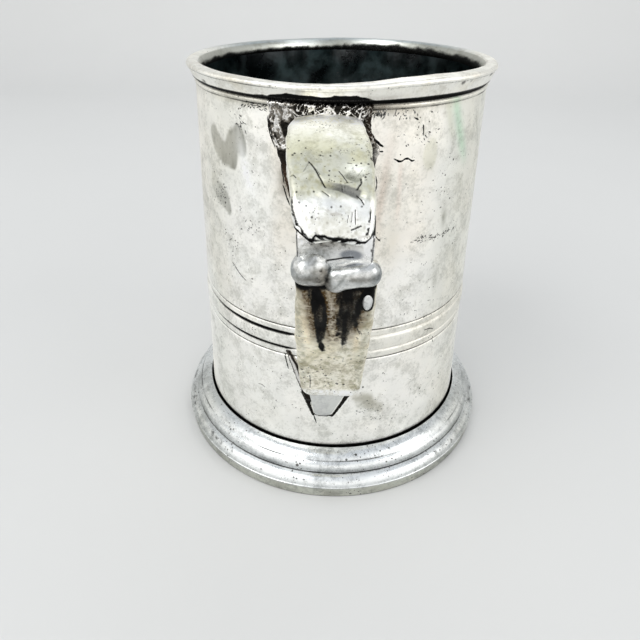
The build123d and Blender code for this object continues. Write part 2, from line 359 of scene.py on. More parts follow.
class Finish:
    """The node tree of a material or world, with one short method for each kind of node it uses."""

    def __init__(self, owner, shader="Principled BSDF", place="Object"):
        owner.use_nodes = True
        self.owner, self.tree = owner, owner.node_tree
        self.shader = self.tree.nodes[shader]
        self.place = self.node("ShaderNodeTexCoord", place)

    def node(self, kind, output, inputs=None, **settings):
        """Adds a node with its settings and inputs, and gives one of its outputs."""
        node = self.tree.nodes.new(kind)
        for key, value in settings.items():
            setattr(node, key, value)
        for key, value in (inputs or {}).items():
            self.join(value, node.inputs[key])
        return Value(self, node.outputs[output])

    def join(self, value, socket):
        if isinstance(value, Value):
            self.tree.links.new(value.socket, socket)
        elif isinstance(value, tuple) and len(value) == 3 and socket.type == "RGBA":
            socket.default_value = (*value, 1.0)
        else:
            socket.default_value = value

    def noise(self, size, detail=3.0, roughness=0.55, distortion=0.0, place=None):
        """Noise from 0 to 1 with features of about size millimetres."""
        inputs = {"Vector": place or self.place, "Scale": 1 / (size * MM), "Detail": detail}
        inputs.update({"Roughness": roughness, "Distortion": distortion})
        return self.node("ShaderNodeTexNoise", "Fac", inputs)

    def cells(self, size):
        """Distance to the nearest of scattered points about size millimetres apart, 0 at a point."""
        return self.node("ShaderNodeTexVoronoi", "Distance", {"Vector": self.place, "Scale": 1 / (size * MM)})

    def mark(self, name):
        """A value that the mesh carries at its points."""
        return self.node("ShaderNodeAttribute", "Fac", attribute_name=name)

    def span(self, value, low, high, out_low=0.0, out_high=1.0):
        """Maps low..high to out_low..out_high, smoothly and clamped."""
        inputs = {"Value": value, "From Min": low, "From Max": high, "To Min": out_low, "To Max": out_high}
        return self.node("ShaderNodeMapRange", "Result", inputs, interpolation_type="SMOOTHSTEP")

    def maths(self, operation, a, b, clamp=False):
        return self.node("ShaderNodeMath", 0, {0: a, 1: b}, operation=operation, use_clamp=clamp)

    def mixed(self, amount, a, b, blend="MIX"):
        """Colour a turned into colour b by amount."""
        inputs = {"Factor": amount, 6: a, 7: b}
        return self.node("ShaderNodeMix", 2, inputs, data_type="RGBA", blend_type=blend)

    def tinted(self, colour):
        """A colour multiplied by the tint that the mesh carries."""
        tint = self.node("ShaderNodeAttribute", "Color", attribute_name="tint")
        return self.mixed(1.0, colour, tint, "MULTIPLY")

    def metal(self, colour, rough, height, depth):
        """Joins up a bare metal, whose relief of height 0 to 1 is depth millimetres deep."""
        bump_inputs = {"Strength": 1.0, "Distance": depth * MM, "Height": height}
        relief = self.node("ShaderNodeBump", "Normal", bump_inputs)
        self.shade({"Base Color": colour, "Metallic": 1.0, "Roughness": rough, "Normal": relief})
        return self.owner

    def shade(self, inputs):
        for key, value in inputs.items():
            self.join(value, self.shader.inputs[key])


# Each kind of pewter surface: light and dark colour, range of roughness, and size of pits and of specks
PEWTERS = {
    "drum": ((1.0, 0.99, 0.95), (0.71, 0.705, 0.66), (0.38, 0.56), 0.75, 0.6),
    "lip": ((0.96, 0.95, 0.89), (0.72, 0.70, 0.63), (0.26, 0.42), 0.45, 0.4),
    "foot": ((0.86, 0.885, 0.89), (0.52, 0.54, 0.54), (0.20, 0.36), 1.2, 1.2),
    "strap": ((0.97, 0.965, 0.90), (0.72, 0.71, 0.62), (0.36, 0.54), 1.1, 1.5),
    "arm": ((1.0, 0.97, 0.87), (0.56, 0.52, 0.40), (0.36, 0.54), 1.0, 1.0),
    "neck": ((0.92, 0.92, 0.91), (0.44, 0.435, 0.41), (0.14, 0.30), 0.6, 0.5),
    "solder": ((0.80, 0.81, 0.80), (0.42, 0.425, 0.41), (0.20, 0.33), 0.25, 0.25),
    "tail": ((0.76, 0.77, 0.75), (0.60, 0.61, 0.60), (0.30, 0.42), 0.2, 0.2),
}
INSIDE_DARK, INSIDE_LIGHT, INSIDE_RUNS = (0.030, 0.052, 0.055), (0.14, 0.215, 0.225), (0.30, 0.32, 0.33)
# Colour of the rubbed inside, also used for a painted highlight
INSIDE_POLISH_AND_SHEEN = (0.62, 0.65, 0.68)
CRUST_BLACK, CRUST_BODY, CRUST_CREST = (0.015, 0.014, 0.012), (0.20, 0.185, 0.16), (0.75, 0.74, 0.72)
CRUST_BROWN, CRUST_WIPED = (0.10, 0.055, 0.03), (0.80, 0.77, 0.72)
# Black for dirt and for painted shade
BLACK_DIRT_AND_SHADE = (0.007, 0.007, 0.007)
DOT_DIRT = (0.05, 0.047, 0.04)
BROWN_STAIN = (0.10, 0.060, 0.022)
WIPED_TURN, WIPED_STRETCH = (0.5, 0.3, 0.4), (0.06, 1.0, 1.0)


def pewter(name):
    """Worn pewter: cloudy colour, fine wiping scratches, pits full of dirt, and black where the mesh says,
    for dirt and painted shade, under the mesh's tint, which also carries painted highlights, reflections and
    shade.
    """
    light, dark, rough_range, pit_size, speck_size = PEWTERS[name]
    f = Finish(bpy.data.materials.new("pewter_" + name))
    cloud, mottle = f.noise(9.0, 4.0, 0.6, 0.4), f.noise(2.4, 4.0, 0.62, 0.5)
    fine, grain = f.noise(0.7, 3.0, 0.65), f.noise(0.28, 2.0, 0.5)
    tone = cloud * 0.40 + mottle * 0.32 + fine * 0.28
    colour = f.tinted(f.mixed(f.span(tone, 0.375, 0.555), dark, light))
    stain = f.maths("MULTIPLY", f.mark("stain"), f.span(fine, 0.30, 0.62, 0.55, 1.25), True)
    colour = f.mixed(stain, colour, BROWN_STAIN)
    # Pits and specks: small scattered dots, more of them in some places than in others
    crowd = f.span(f.noise(12.0, 2.0), 0.36, 0.68, 0.25, 1.0)
    pits = f.maths("LESS_THAN", f.cells(1.5), crowd * (0.17 * pit_size))
    large = f.maths("LESS_THAN", f.cells(4.2), crowd * (0.10 * pit_size))
    speck = f.span(f.noise(5.0, 2.0), 0.44, 0.70) * (0.26 * speck_size)
    specks = f.span(f.cells(0.62), speck * 0.6, speck, 1.0, 0.0)
    dots = f.maths("MAXIMUM", f.maths("MAXIMUM", pits, large) * 0.85, specks * 0.55)
    colour = f.mixed(dots, colour, DOT_DIRT)
    # Black dirt and painted shade, whose edge noise roughens
    dirt_and_shade = f.span(f.mark("grime_and_shade") + (grain - 0.5) * 0.6, 0.15, 0.95)
    colour = f.mixed(dirt_and_shade, colour, BLACK_DIRT_AND_SHADE)
    rough = f.span(f.noise(4.0, 3.0), 0.3, 0.7, *rough_range) + f.mark("dull")
    rough = f.maths("ADD", rough, f.maths("MAXIMUM", dirt_and_shade, stain) * 0.16, True)
    wiped = {"Vector": f.place, "Rotation": WIPED_TURN, "Scale": WIPED_STRETCH}
    wiping = f.noise(0.35, 2.0, 0.6, place=f.node("ShaderNodeMapping", "Vector", wiped))
    return f.metal(colour, rough, fine * 0.5 + wiping * 0.25 - dots * 0.9, 0.05)


def tarnished():
    """The unpolished inside: nearly black, with blue-grey clouds and lighter runs, and rubbed bright with a
    painted highlight where the mesh says.
    """
    f = Finish(bpy.data.materials.new("pewter_inside"))
    cloud, fine = f.noise(8.0, 5.0, 0.6, 0.25), f.noise(0.8, 3.0, 0.6)
    colour = f.mixed(f.span(cloud, 0.38, 0.66), INSIDE_DARK, INSIDE_LIGHT)
    colour = f.tinted(f.mixed(f.span(fine, 0.60, 0.74, 0.0, 0.5), colour, INSIDE_RUNS))
    # Rubbed bright, and a painted highlight, where the mesh says
    colour = f.mixed(f.mark("polish_and_sheen"), colour, INSIDE_POLISH_AND_SHEEN)
    return f.metal(colour, f.span(cloud, 0.3, 0.7, 0.24, 0.42), fine + cloud * 0.6, 0.06)


def crusted():
    """Dirty solder round the handle's root: black in the hollows, grey metal on the crests."""
    f = Finish(bpy.data.materials.new("solder_crust"))
    fine = f.noise(0.7, 4.0, 0.65, 0.6)
    crest = f.mark("crest") + (fine - 0.5) * 0.6
    colour = f.mixed(f.span(crest, 0.35, 0.60), CRUST_BLACK, CRUST_BODY)
    colour = f.mixed(f.span(crest, 0.62, 0.85), colour, CRUST_CREST)
    colour = f.mixed(f.mark("stain") * 0.8, colour, CRUST_BROWN)
    colour = f.mixed(f.mark("clean"), colour, CRUST_WIPED)
    return f.metal(colour, f.span(fine, 0.3, 0.7, 0.18, 0.42), fine, 0.14)


# ---- Drum

# Dents in the wall: azimuth, height, the spread in each, and depth in millimetres (minus stands out)
DENTS = (
    (-42, 101, 8, 11, 0.55),
    (-49, 105, 2.6, 5, 0.18),
    (-38.5, 104.5, 3, 6, 0.22),
    (-46, 89, 3, 5.5, 0.28),
    (-30, 70, 12, 10, 0.15),
    (16, 98, 3.6, 14, 0.28),
    (24, 88, 8, 16, -0.14),
    (39, 84, 3, 5, 0.20),
    (47, 106, 4, 8, 0.22),
    (41, 68, 3, 4, 0.14),
    (-62, 60, 9, 14, 0.20),
    (30, 30, 12, 7, 0.16),
    (120, 84, 14, 16, 0.30),
    (165, 40, 10, 9, 0.22),
    (215, 92, 9, 7, 0.30),
    (250, 66, 6, 12, 0.18),
)
CREASE = ((-30.5, 107), (-31.6, 103.4), (-34.4, 94.3), (-42, 84.8), (-47.2, 77.8), (-49, 66))
SQUIGGLE = (
    (18.8, 103.2), (20.1, 102.7), (21.7, 102.5), (22.9, 102.9), (24.3, 102.85), (25.5, 102.3), (26.7, 102.4),
)
# Scratches full of dirt on the drum: route in azimuth and height, half-width, and darkness
DRUM_SCRATCHES = (
    (SQUIGGLE, 0.24, 1.0),
    (((-43.3, 70.6), (-39.2, 68.2), (-35.6, 66.7)), 0.16, 0.75),
    (((38, 51.6), (41, 51.4), (43.5, 50.4)), 0.16, 0.8),
    (((44, 47.6), (44.6, 45.2)), 0.16, 0.8),
    (((13, 84.9), (14.2, 83.8), (15.8, 82.5)), 0.16, 0.9),
    (((-5.4, 22.4), (-6.6, 25.6), (-7.6, 28.4)), 0.20, 1),
    (((-24.1, 112), (-23.9, 109.6), (-23, 107.4), (-21.4, 104.8)), 0.17, 1),
    (((9.4, 110.4), (10.9, 108.6), (12.3, 107.4), (14.9, 106)), 0.28, 1),
    (((10.6, 105.8), (12.8, 105.2), (15, 104.9)), 0.22, 1),
    (((12.8, 99.4), (13.4, 97.2), (12.6, 95.4)), 0.16, 0.8),
    (((-18.8, 96.4), (-17.4, 93.4), (-16, 91.2)), 0.18, 1),
    (((-19.4, 101.6), (-18.8, 99), (-18.2, 96.6)), 0.14, 0.9),
    (((-18.6, 47), (-17.8, 44.2), (-17, 41.4)), 0.16, 0.9),
    (((-31, 32), (-29.2, 32.3), (-27.5, 31.6)), 0.14, 0.6),
    (((29, 110.4), (29.4, 107.8)), 0.20, 0.9),
    (((25, 112.2), (27, 111.6)), 0.18, 0.9),
    (((130, 72), (136, 68.6), (141, 66)), 0.14, 0.7),
    (((196, 98), (200, 100.2), (204, 101)), 0.14, 0.7),
    (((228, 34), (232, 36.2), (236, 37)), 0.15, 0.7),
    (((160, 58), (162, 62)), 0.14, 0.7),
)
# Groups of short ticks: azimuth, height, the spread in each, count, slant in degrees, and length
TICK_GROUPS = (
    (12.5, 113.4, 3, 0.8, 44, 65, 0.9),
    (22, 113.2, 5, 1, 26, 80, 0.7),
    (27, 108.5, 8, 4, 26, -20, 0.7),
    (-27.5, 113.7, 6.5, 0.6, 62, 12, 0.9),
    (-21.5, 111, 2, 2.2, 20, 60, 1.4),
    (-36.5, 108.8, 2.6, 1.8, 22, -35, 0.8),
    (-49.5, 89.2, 3.2, 2.6, 46, 50, 0.6),
    (-32, 83.5, 5, 4, 30, 20, 0.5),
    (-42, 76, 5, 3, 22, 40, 0.6),
    (33.5, 81.1, 5, 0.7, 34, 10, 0.8),
    (44, 80.6, 6, 0.7, 40, 12, 0.8),
    (34, 92, 9, 9, 26, 10, 0.5),
    (32, 62, 9, 6, 26, 30, 0.5),
    (16, 27, 5, 3.4, 34, 0, 0.6),
    (24, 22, 8, 4, 24, 20, 0.5),
    (-34, 50, 12, 3, 14, 5, 0.6),
    (-22, 28, 9, 7, 16, 60, 0.5),
    (140, 80, 26, 22, 34, 30, 0.8),
    (220, 60, 26, 26, 34, -30, 0.8),
)
# Painted dark reflections in the big dent, grey smudges as soft lobes: azimuth, height and the spread in each
HEART_REFLECTION = (
    (-52, 104.4, 2.2, 2.8), (-49.4, 101.8, 2.4, 2.6), (-45.8, 100.4, 2.6, 2.6), (-41.5, 103, 3.4, 3.6),
    (-37.4, 106.2, 3, 2.8), (-35.8, 103.6, 2.2, 2.6), (-41.4, 99.2, 2.2, 2.2),
)
LOWER_REFLECTION = (
    (-53.8, 92.2, 2, 2.6), (-50.4, 89.8, 2.8, 2.8), (-46.6, 87.8, 2.4, 2.4), (-44.2, 86.2, 1.6, 1.8),
)
GREY_SPOTS = ((33, 101, 4, 4, 0.3), (43.4, 85.4, 1.3, 2.8, 0.9), (42, 67, 1.3, 3, 0.55))   # and how grey
GROOVE_DEPTH = 0.35
GROOVE_HALF = 0.34
REED_RISE = 0.30
THREAD_RISE = 0.35
THREAD_HALF = 0.45
INNER_ROWS = 22


def dent_depth(azimuth, z):
    """How far the wall lies inside its turned shape, in millimetres."""
    depth = np.zeros(np.shape(azimuth))
    for a, h, wide, tall, deep in DENTS:
        depth += deep * bump(around(azimuth - a), 0, wide) * bump(z, h, tall)
    away, along = to_line(azimuth * PER_DEGREE, z, [(a * PER_DEGREE, h) for a, h in CREASE])
    depth += 0.16 * np.exp(-away / 1.6) * between(along, 0, 0.15, 1, 0.8)
    return depth


def drum_surface(azimuth, z, lines=True):
    """The worn outside of the drum: radius at each azimuth and height."""
    r = drum_r(z) - dent_depth(azimuth, z)
    places = polar(azimuth, drum_r(z), z)
    calm = between(z, BRIM_Z - 3.5, BRIM_Z - 8, FOOT_TOP_Z, FOOT_TOP_Z + 6)
    r = r + (0.10 * noise(places, 17.0, 3) + 0.035 * fractal(places, 4.0, 3, 5)) * calm
    if not lines:
        return r
    reed_half = (GROOVES[2] - GROOVES[1]) / 2
    inside = np.clip(1 - ((z - REED_Z) / reed_half) ** 2, 0, 1)
    r = r + REED_RISE * np.sqrt(inside)
    inside = np.clip(1 - ((z - THREAD_Z) / THREAD_HALF) ** 2, 0, 1)
    r = r + THREAD_RISE * np.sqrt(inside)
    for i, height in enumerate(GROOVES):
        wander = 0.05 * noise(polar(azimuth, 40.0, 0.0), 9.0, 20 + i)
        soft = GROOVE_HALF * (1.0 if i in (0, 3) else 1.15)
        r = r - GROOVE_DEPTH * bump(z - wander, height, soft * 0.75)
    return r


def drum_heights():
    """Heights of the drum's rows: close together at the turned lines."""
    rows = list(np.arange(FOOT_TOP_Z - 1.2, THREAD_Z - 1.4, 0.64))
    near = [g + t for g in GROOVES for t in (-0.6, -0.4, -0.26, -0.13, 0, 0.13, 0.26, 0.4, 0.6)]
    rows = [z for z in rows if min(abs(z - g) for g in GROOVES) > 0.75] + near
    rows += list(np.linspace(THREAD_Z - 1.1, THREAD_Z + 1.0, 15)) + [THREAD_Z + 1.5, Drum.high]
    rows += [THREAD_Z - 1.4]
    return np.array(sorted(rows))


def drum_dirt_and_shade(wear_and_light, azimuth, z):
    """Black on the drum: dirt in the lines, with painted shade of the arm added left of the handle, dirt at
    both seams, and dirt and painted shade round the handle's upper end.
    """
    patchy = 0.5 + 0.5 * noise(polar(azimuth, MID_R, z), 6.0, 31)
    left = between(azimuth, -12, -18, -75, -35)
    right = between(azimuth, 5, 12, 75, 60)
    for i, height in enumerate(GROOVES):
        if i in (0, 3):
            level, wide = 0.92 + 0.15 * (patchy - 0.5), GROOVE_HALF * 0.62
        else:
            # Blacker and wider left of the handle: dirt and painted shade beside the arm
            level = 0.48 + 0.85 * left - 0.18 * right + 0.3 * (patchy - 0.5)
            wide = GROOVE_HALF * (0.62 + 0.85 * left + 0.5 * right)
        wear_and_light.dirt_and_shade(level * bump(z, height, wide))
    wear_and_light.dirt_and_shade(1.25 * step(z, FOOT_TOP_Z + 0.75, FOOT_TOP_Z + 0.1))
    wear_and_light.dirt_and_shade(0.48 * step(z, FOOT_TOP_Z + 2.6, FOOT_TOP_Z + 0.4) * (0.35 + patchy))
    wear_and_light.dirt_and_shade(1.2 * step(z, THREAD_Z + 0.35, THREAD_Z + 0.75))
    thread_foot = bump(z, THREAD_Z - 0.62, 0.24) * (0.8 + 0.5 * step(np.abs(azimuth), 70, 30))
    wear_and_light.dirt_and_shade((0.35 + 0.75 * patchy) * thread_foot)
    # Black under the lip round the handle's root: dirt and painted shade
    root = bump(azimuth, -3, 24)
    wear_and_light.dirt_and_shade(1.1 * root * step(z, THREAD_Z - 2.0, THREAD_Z - 0.2) * (0.45 + 0.6 * patchy))


def drum_wear_and_light(azimuth, z):
    """The drum's wear: what time, hands and the mending left on it, with painted reflections, highlights and
    shade on the wall.
    """
    wear_and_light = WearAndLight(azimuth)
    drum_dirt_and_shade(wear_and_light, azimuth, z)
    places = polar(azimuth, MID_R, z)
    cloud = clouds(places, 5.0, 3, 51)
    brushed = step(fractal(places * np.array([1.0, 1.0, 0.22]), 1.4, 3, 59), -0.35, 0.35)

    # A painted reflection from soft lobes with a noisy edge
    def dent_reflection(lobes, seed):
        edge = 0.30 * fractal(places, 3.5, 3, seed)
        total = sum(bump(azimuth, a, wide) * bump(z, h, tall) for a, h, wide, tall in lobes)
        return step(total + edge, 0.26, 0.60)

    # Darker towards both sides: painted shade for the darker surroundings the wall reflects there, with some
    # dirt, less of it low down
    high = 0.25 + 0.75 * step(z, 40, 62)
    wear_and_light.colour(high * between(azimuth, 26, 50, 120, 80), (0.83, 0.84, 0.82))
    wear_and_light.colour(high * between(azimuth, -36, -54, -120, -80), (0.88, 0.88, 0.87))
    # Painted reflections in the big dent: a darker area over its upper part, and two grey smudges
    wear_and_light.colour(0.8 * bump(azimuth, -44, 9) * step(z, 86, 96), (0.83, 0.845, 0.83))
    heart_reflection = dent_reflection(HEART_REFLECTION, 53)
    wear_and_light.colour(heart_reflection * (0.65 + 0.20 * cloud + 0.20 * brushed), (0.16, 0.165, 0.135))
    lower_reflection = dent_reflection(LOWER_REFLECTION, 57)
    wear_and_light.colour(0.90 * lower_reflection * (0.45 + 0.35 * cloud + 0.20 * brushed), (0.34, 0.345, 0.315))
    # Painted highlight on the lighter strip beside the crease
    beside = bump(azimuth + (z - 96) * 0.42, -33.5, 2.6) * bump(z, 97, 8)
    wear_and_light.colour(0.8 * beside, (1.10, 1.12, 1.16))
    # Darker bands at about 55 degrees each side: some dirt, and painted shade for the darker surroundings
    # reflected there
    edge_dirt_and_shade = bump(azimuth, -55, 7) * step(z, 108, 98)
    wear_and_light.colour(0.55 * edge_dirt_and_shade * (0.4 + 0.6 * cloud), (0.76, 0.78, 0.75))
    edge_dirt_and_shade = bump(azimuth, 58, 9)
    wear_and_light.colour(0.50 * edge_dirt_and_shade * (0.4 + 0.6 * cloud), (0.78, 0.78, 0.73))
    # Painted reflections on the right: a greenish stripe and an olive one above it
    green_reflection = bump(azimuth, 44.0 + (113 - z) * 0.65, 2.4) * step(z, 96, 104)
    wear_and_light.colour(0.75 * green_reflection, (0.56, 0.76, 0.62))
    olive = bump(azimuth, 40.0 + (113 - z) * 0.5, 1.7) * step(z, 104, 110)
    wear_and_light.colour(0.65 * olive * (0.4 + 0.6 * cloud), (0.56, 0.60, 0.46))
    seam = step(z, THREAD_Z - 2.2, THREAD_Z - 0.8) * step(np.abs(azimuth + 3), 62, 28)
    wear_and_light.colour(0.85 * seam * (0.5 + 0.5 * cloud), (0.52, 0.50, 0.43))
    # Painted shade over the reed on the right, which dims its highlights
    reed = between(z, GROOVES[0] - 0.5, GROOVES[0], GROOVES[3] + 0.5, GROOVES[3]) * step(azimuth, 6, 14)
    wear_and_light.colour(0.6 * reed, (0.80, 0.79, 0.75))
    warm = between(azimuth, 8, 12, 40, 26) * step(z, 72, 84)
    wear_and_light.colour(0.55 * warm * (0.5 + 0.5 * cloud), (1.0, 0.93, 0.85))
    # Painted reflections right of the handle: a pinkish band and a pink stripe
    pink = bump(azimuth, 14.2 + (z - 87) * 0.17, 1.7) * bump(z, 94, 10)
    wear_and_light.colour(0.85 * pink, (0.74, 0.62, 0.55))
    pink_reflection_stripe = bump(azimuth, 21.5, 0.9) * between(z, 104, 100, 84, 92)
    wear_and_light.colour(0.5 * pink_reflection_stripe, (0.88, 0.72, 0.66))
    olive = step(bump(azimuth, 33, 3.6) * bump(z, 103.5, 4.2) + 0.25 * (cloud - 0.5), 0.35, 0.6)
    wear_and_light.colour(0.6 * olive, (0.72, 0.72, 0.60))
    shade = bump(azimuth, 20, 3.0) * bump(z, 84, 9)
    wear_and_light.colour(0.45 * shade, (0.74, 0.70, 0.62))
    left_side = between(azimuth, -9, -16, -26, -20) * step(z, 70, 88)
    wear_and_light.colour(0.45 * left_side, (0.86, 0.79, 0.70))
    smear = bump(azimuth + (z - 30) * 0.9, 15.5, 4.8) * bump(z, 30, 5.0)
    gritty = clouds(places, 1.6, 3, 69)
    smear = step(smear + 0.6 * (cloud - 0.5) + 0.9 * (gritty - 0.5), 0.15, 0.95)
    wear_and_light.colour(0.75 * smear, (0.44, 0.43, 0.36))
    for a, h, wide, tall, amount in GREY_SPOTS:
        wear_and_light.colour(amount * bump(azimuth, a, wide) * bump(z, h, tall), (0.48, 0.49, 0.46))
    yellow = step(fractal(places, 22.0, 2, 61), 0.0, 0.5)
    wear_and_light.colour(0.22 * yellow, (1.0, 0.955, 0.87))
    cool = step(fractal(places, 18.0, 2, 67), 0.05, 0.5)
    wear_and_light.colour(0.25 * cool, (0.93, 0.96, 0.96))
    brown = 0.65 * bump(azimuth, -17.5, 2.6) * between(z, 92, 97, 104, 98)
    under_seam = 0.5 * bump(azimuth, 8, 12) * step(z, 111.0, THREAD_Z) * step(cloud, 0.35, 0.8)
    wear_and_light.stain = np.maximum(brown, under_seam)
    wear_and_light.dull = 0.05 * cloud
    return wear_and_light


def catmull(route, spacing):
    """Points along a smooth curve through a route's points, at an even spacing."""
    p = np.array(route, float)
    p = np.concatenate([[2 * p[0] - p[1]], p, [2 * p[-1] - p[-2]]])
    found = []
    for a, b, c, d in zip(p, p[1:], p[2:], p[3:]):
        count = max(2, int(np.linalg.norm(c - b) / spacing))
        t = np.linspace(0, 1, count, endpoint=False)[:, None]
        found.append(b + 0.5 * t * (c - a + t * (2 * a - 5 * b + 4 * c - d + t * (3 * (b - c) + d - a))))
    return np.concatenate([*found, p[-2:-1]])


def sliver(route, half, seed):
    """A sliver of dirt along a scratch in the drum: points and faces of a thin wedge sunk into the wall."""
    scale = radians(1) * MID_R
    line = catmull([(a * scale, z) for a, z in route], 0.28)
    ahead = np.gradient(line, axis=0)
    ahead /= np.linalg.norm(ahead, axis=1, keepdims=True)
    beside = np.stack([-ahead[:, 1], ahead[:, 0]], -1)
    place = np.concatenate([line, np.full((len(line), 1), float(seed))], -1)
    line = line + beside * (0.10 * noise(place, 0.9, 301))[:, None]
    t = np.linspace(0, 1, len(line))
    wide = half * np.sqrt(np.clip(1 - (2 * t - 1) ** 4, 0.02, 1)) * (1 + 0.5 * noise(place, 0.6, 303))
    sides = []
    for offset, lift in ((-1, 0.012), (0, 0.03), (1, 0.012), (0, -0.15)):
        at = line + beside * (wide * offset)[:, None]
        azimuth, z = at[:, 0] / scale, at[:, 1]
        sides.append(polar(azimuth, drum_surface(azimuth, z) + lift, z))
    rings = np.stack(sides, 1)
    return capped(rings)


def ticks():
    """Routes, half-widths and darkness of the short scratches, scattered in groups."""
    random = np.random.default_rng(12)
    found = []
    for azimuth, height, wide, tall, count, slant, length in TICK_GROUPS:
        for _ in range(count):
            a = azimuth + wide * np.clip(random.normal(), -1.6, 1.6) * 0.7
            h = height + tall * np.clip(random.normal(), -1.6, 1.6) * 0.7
            turn = radians(slant + random.normal() * 28)
            reach = length * (0.35 + random.random()) / 2
            da, dh = reach * cos(turn) / 0.733, reach * sin(turn)
            half = 0.07 + 0.10 * random.random()
            found.append((((a - da, h - dh), (a + da, h + dh)), half, 0.6 + 0.4 * random.random()))
    return found


def build_drum(material, inside):
    """The tapered wall in one closed mesh, dented and lined outside and tarnished inside."""
    heights = drum_heights()
    azimuth = column_azimuths()
    a, z = np.meshgrid(around(azimuth), heights)
    inner_heights = np.linspace(COVE_Z + 0.1, BASE_HIGH.z - 1.5, INNER_ROWS)
    ai, zi = np.meshgrid(around(azimuth), inner_heights)
    wall = polar(a, drum_surface(a, z), z)
    inner_wall = polar(ai, drum_surface(ai, zi, lines=False) - Drum.wall, zi)
    points = np.concatenate([wall, inner_wall]).reshape(-1, 3)
    faces = grid_faces(len(heights) + len(inner_heights), len(azimuth), True, True)
    inner = WearAndLight(ai)
    # Painted shade: the inside darker everywhere but near the back, where the light falls in
    inner.colour(step(np.abs(ai), 165, 100), (0.45, 0.47, 0.45))
    inner.colour(0.9 * step(zi, COVE_Z - 4, COVE_Z), (0.25, 0.27, 0.28))
    marks = drum_wear_and_light(np.concatenate([a, ai]), np.concatenate([z, zi])).marks()
    marks["tint"][a.size:] = inner.marks()["tint"]
    marks["polish_and_sheen"] = np.concatenate([np.zeros(a.size), inner_polish_and_sheen(ai, zi).ravel()])
    wall_faces = len(faces)
    for seed, (route, half, dark) in enumerate((*DRUM_SCRATCHES, *ticks())):
        more, more_faces = sliver(route, half, seed)
        faces += [[i + len(points) for i in f] for f in more_faces]
        points = np.concatenate([points, more])
        filled = WearAndLight(more[:, 0])
        filled.dirt_and_shade(dark)
        for key, value in {"polish_and_sheen": filled.stain, **filled.marks()}.items():
            marks[key] = np.concatenate([marks[key], value])
    piece = make_piece("drum_body", points, faces, material, "drum", marks)
    piece.data.materials.append(inside)
    first = (len(heights) - 1) * len(azimuth)
    index = np.zeros(len(piece.data.polygons), np.int32)
    index[first + len(azimuth):wall_faces - len(azimuth)] = 1
    piece.data.polygons.foreach_set("material_index", index)
    return piece


def inner_polish_and_sheen(azimuth, z):
    """Where the inside is rubbed brighter: a band under the lip at the back, broken by tarnish, and a painted
    hazy highlight below it.
    """
    places = polar(azimuth, 40.0, z)
    cloud = clouds(places, 6.0, 3, 71)
    back = step(np.abs(azimuth), 110, 165)
    # A painted hazy highlight below the rubbed band
    haze = 0.22 * bump(z, BRIM_Z - 12.0, 3.0) * step(np.abs(azimuth), 100, 150) * step(cloud, 0.25, 0.8)
    return np.maximum(haze, 0.8 * step(z, BRIM_Z - 7.5, BRIM_Z - 1.5) * back * step(cloud, 0.35, 0.7))


# ---- Lip, foot and base

# The brim isn't level: azimuth, and how far it stands above or below its turned height
BRIM_WAVE = (
    (-180, -0.30), (-155, -0.70), (-130, -0.65), (-95, -0.50), (-60, -0.35), (-36, -0.28),
    (-22, -0.50), (-12, -0.56), (-4, -0.46), (2, -0.20), (10, 0.18), (20, 0.75), (33, 1),
    (53, 0.62), (78, 0.15), (110, 0), (150, -0.15), (180, -0.30),
)


COVE_Z = BRIM_Z - 3.6       # height where the lip's cove meets the inside wall
LIP_LINE_Z = BRIM_Z - 1.25  # height of the scored line round the lip


def brim_lift(azimuth):
    """How far the brim is bent up at an azimuth, in millimetres."""
    at, lift = zip(*BRIM_WAVE)
    t = np.interp(azimuth, at, lift)
    return t + 0.06 * noise(polar(azimuth, 40.0, 0.0), 6.0, 81)


def lip_outline():
    """The lip's closed outline, from its underside outwards, over the brim and down the cove inside it."""
    under = (drum_r(UNDER_LIP_Z) - 0.2, UNDER_LIP_Z + 0.35)
    inner_r = drum_r(COVE_Z) - Drum.wall

    def skirt(inwards, up):
        return LIP_R - inwards, UNDER_LIP_Z + up

    return traced(under, (
        (3, skirt(1.47, -0.02)),
        (3, skirt(1.37, 0.02), skirt(1.33, 0.14)),
        (14, skirt(0.98, 1.1), (LIP_R - 0.28, BRIM_Z - 1.5)),
        (14, (LIP_R, BRIM_Z - 0.95), (LIP_R - 0.75, BRIM_Z - 0.1)),
        (5, (MOUTH_R + 0.3, BRIM_Z - 0.06)),
        (12, (MOUTH_R - 0.40, BRIM_Z - 1.0), (inner_r - 0.02, COVE_Z)),
        (2, (inner_r + 0.4, COVE_Z - 0.1)),
        (3, under),
    ))


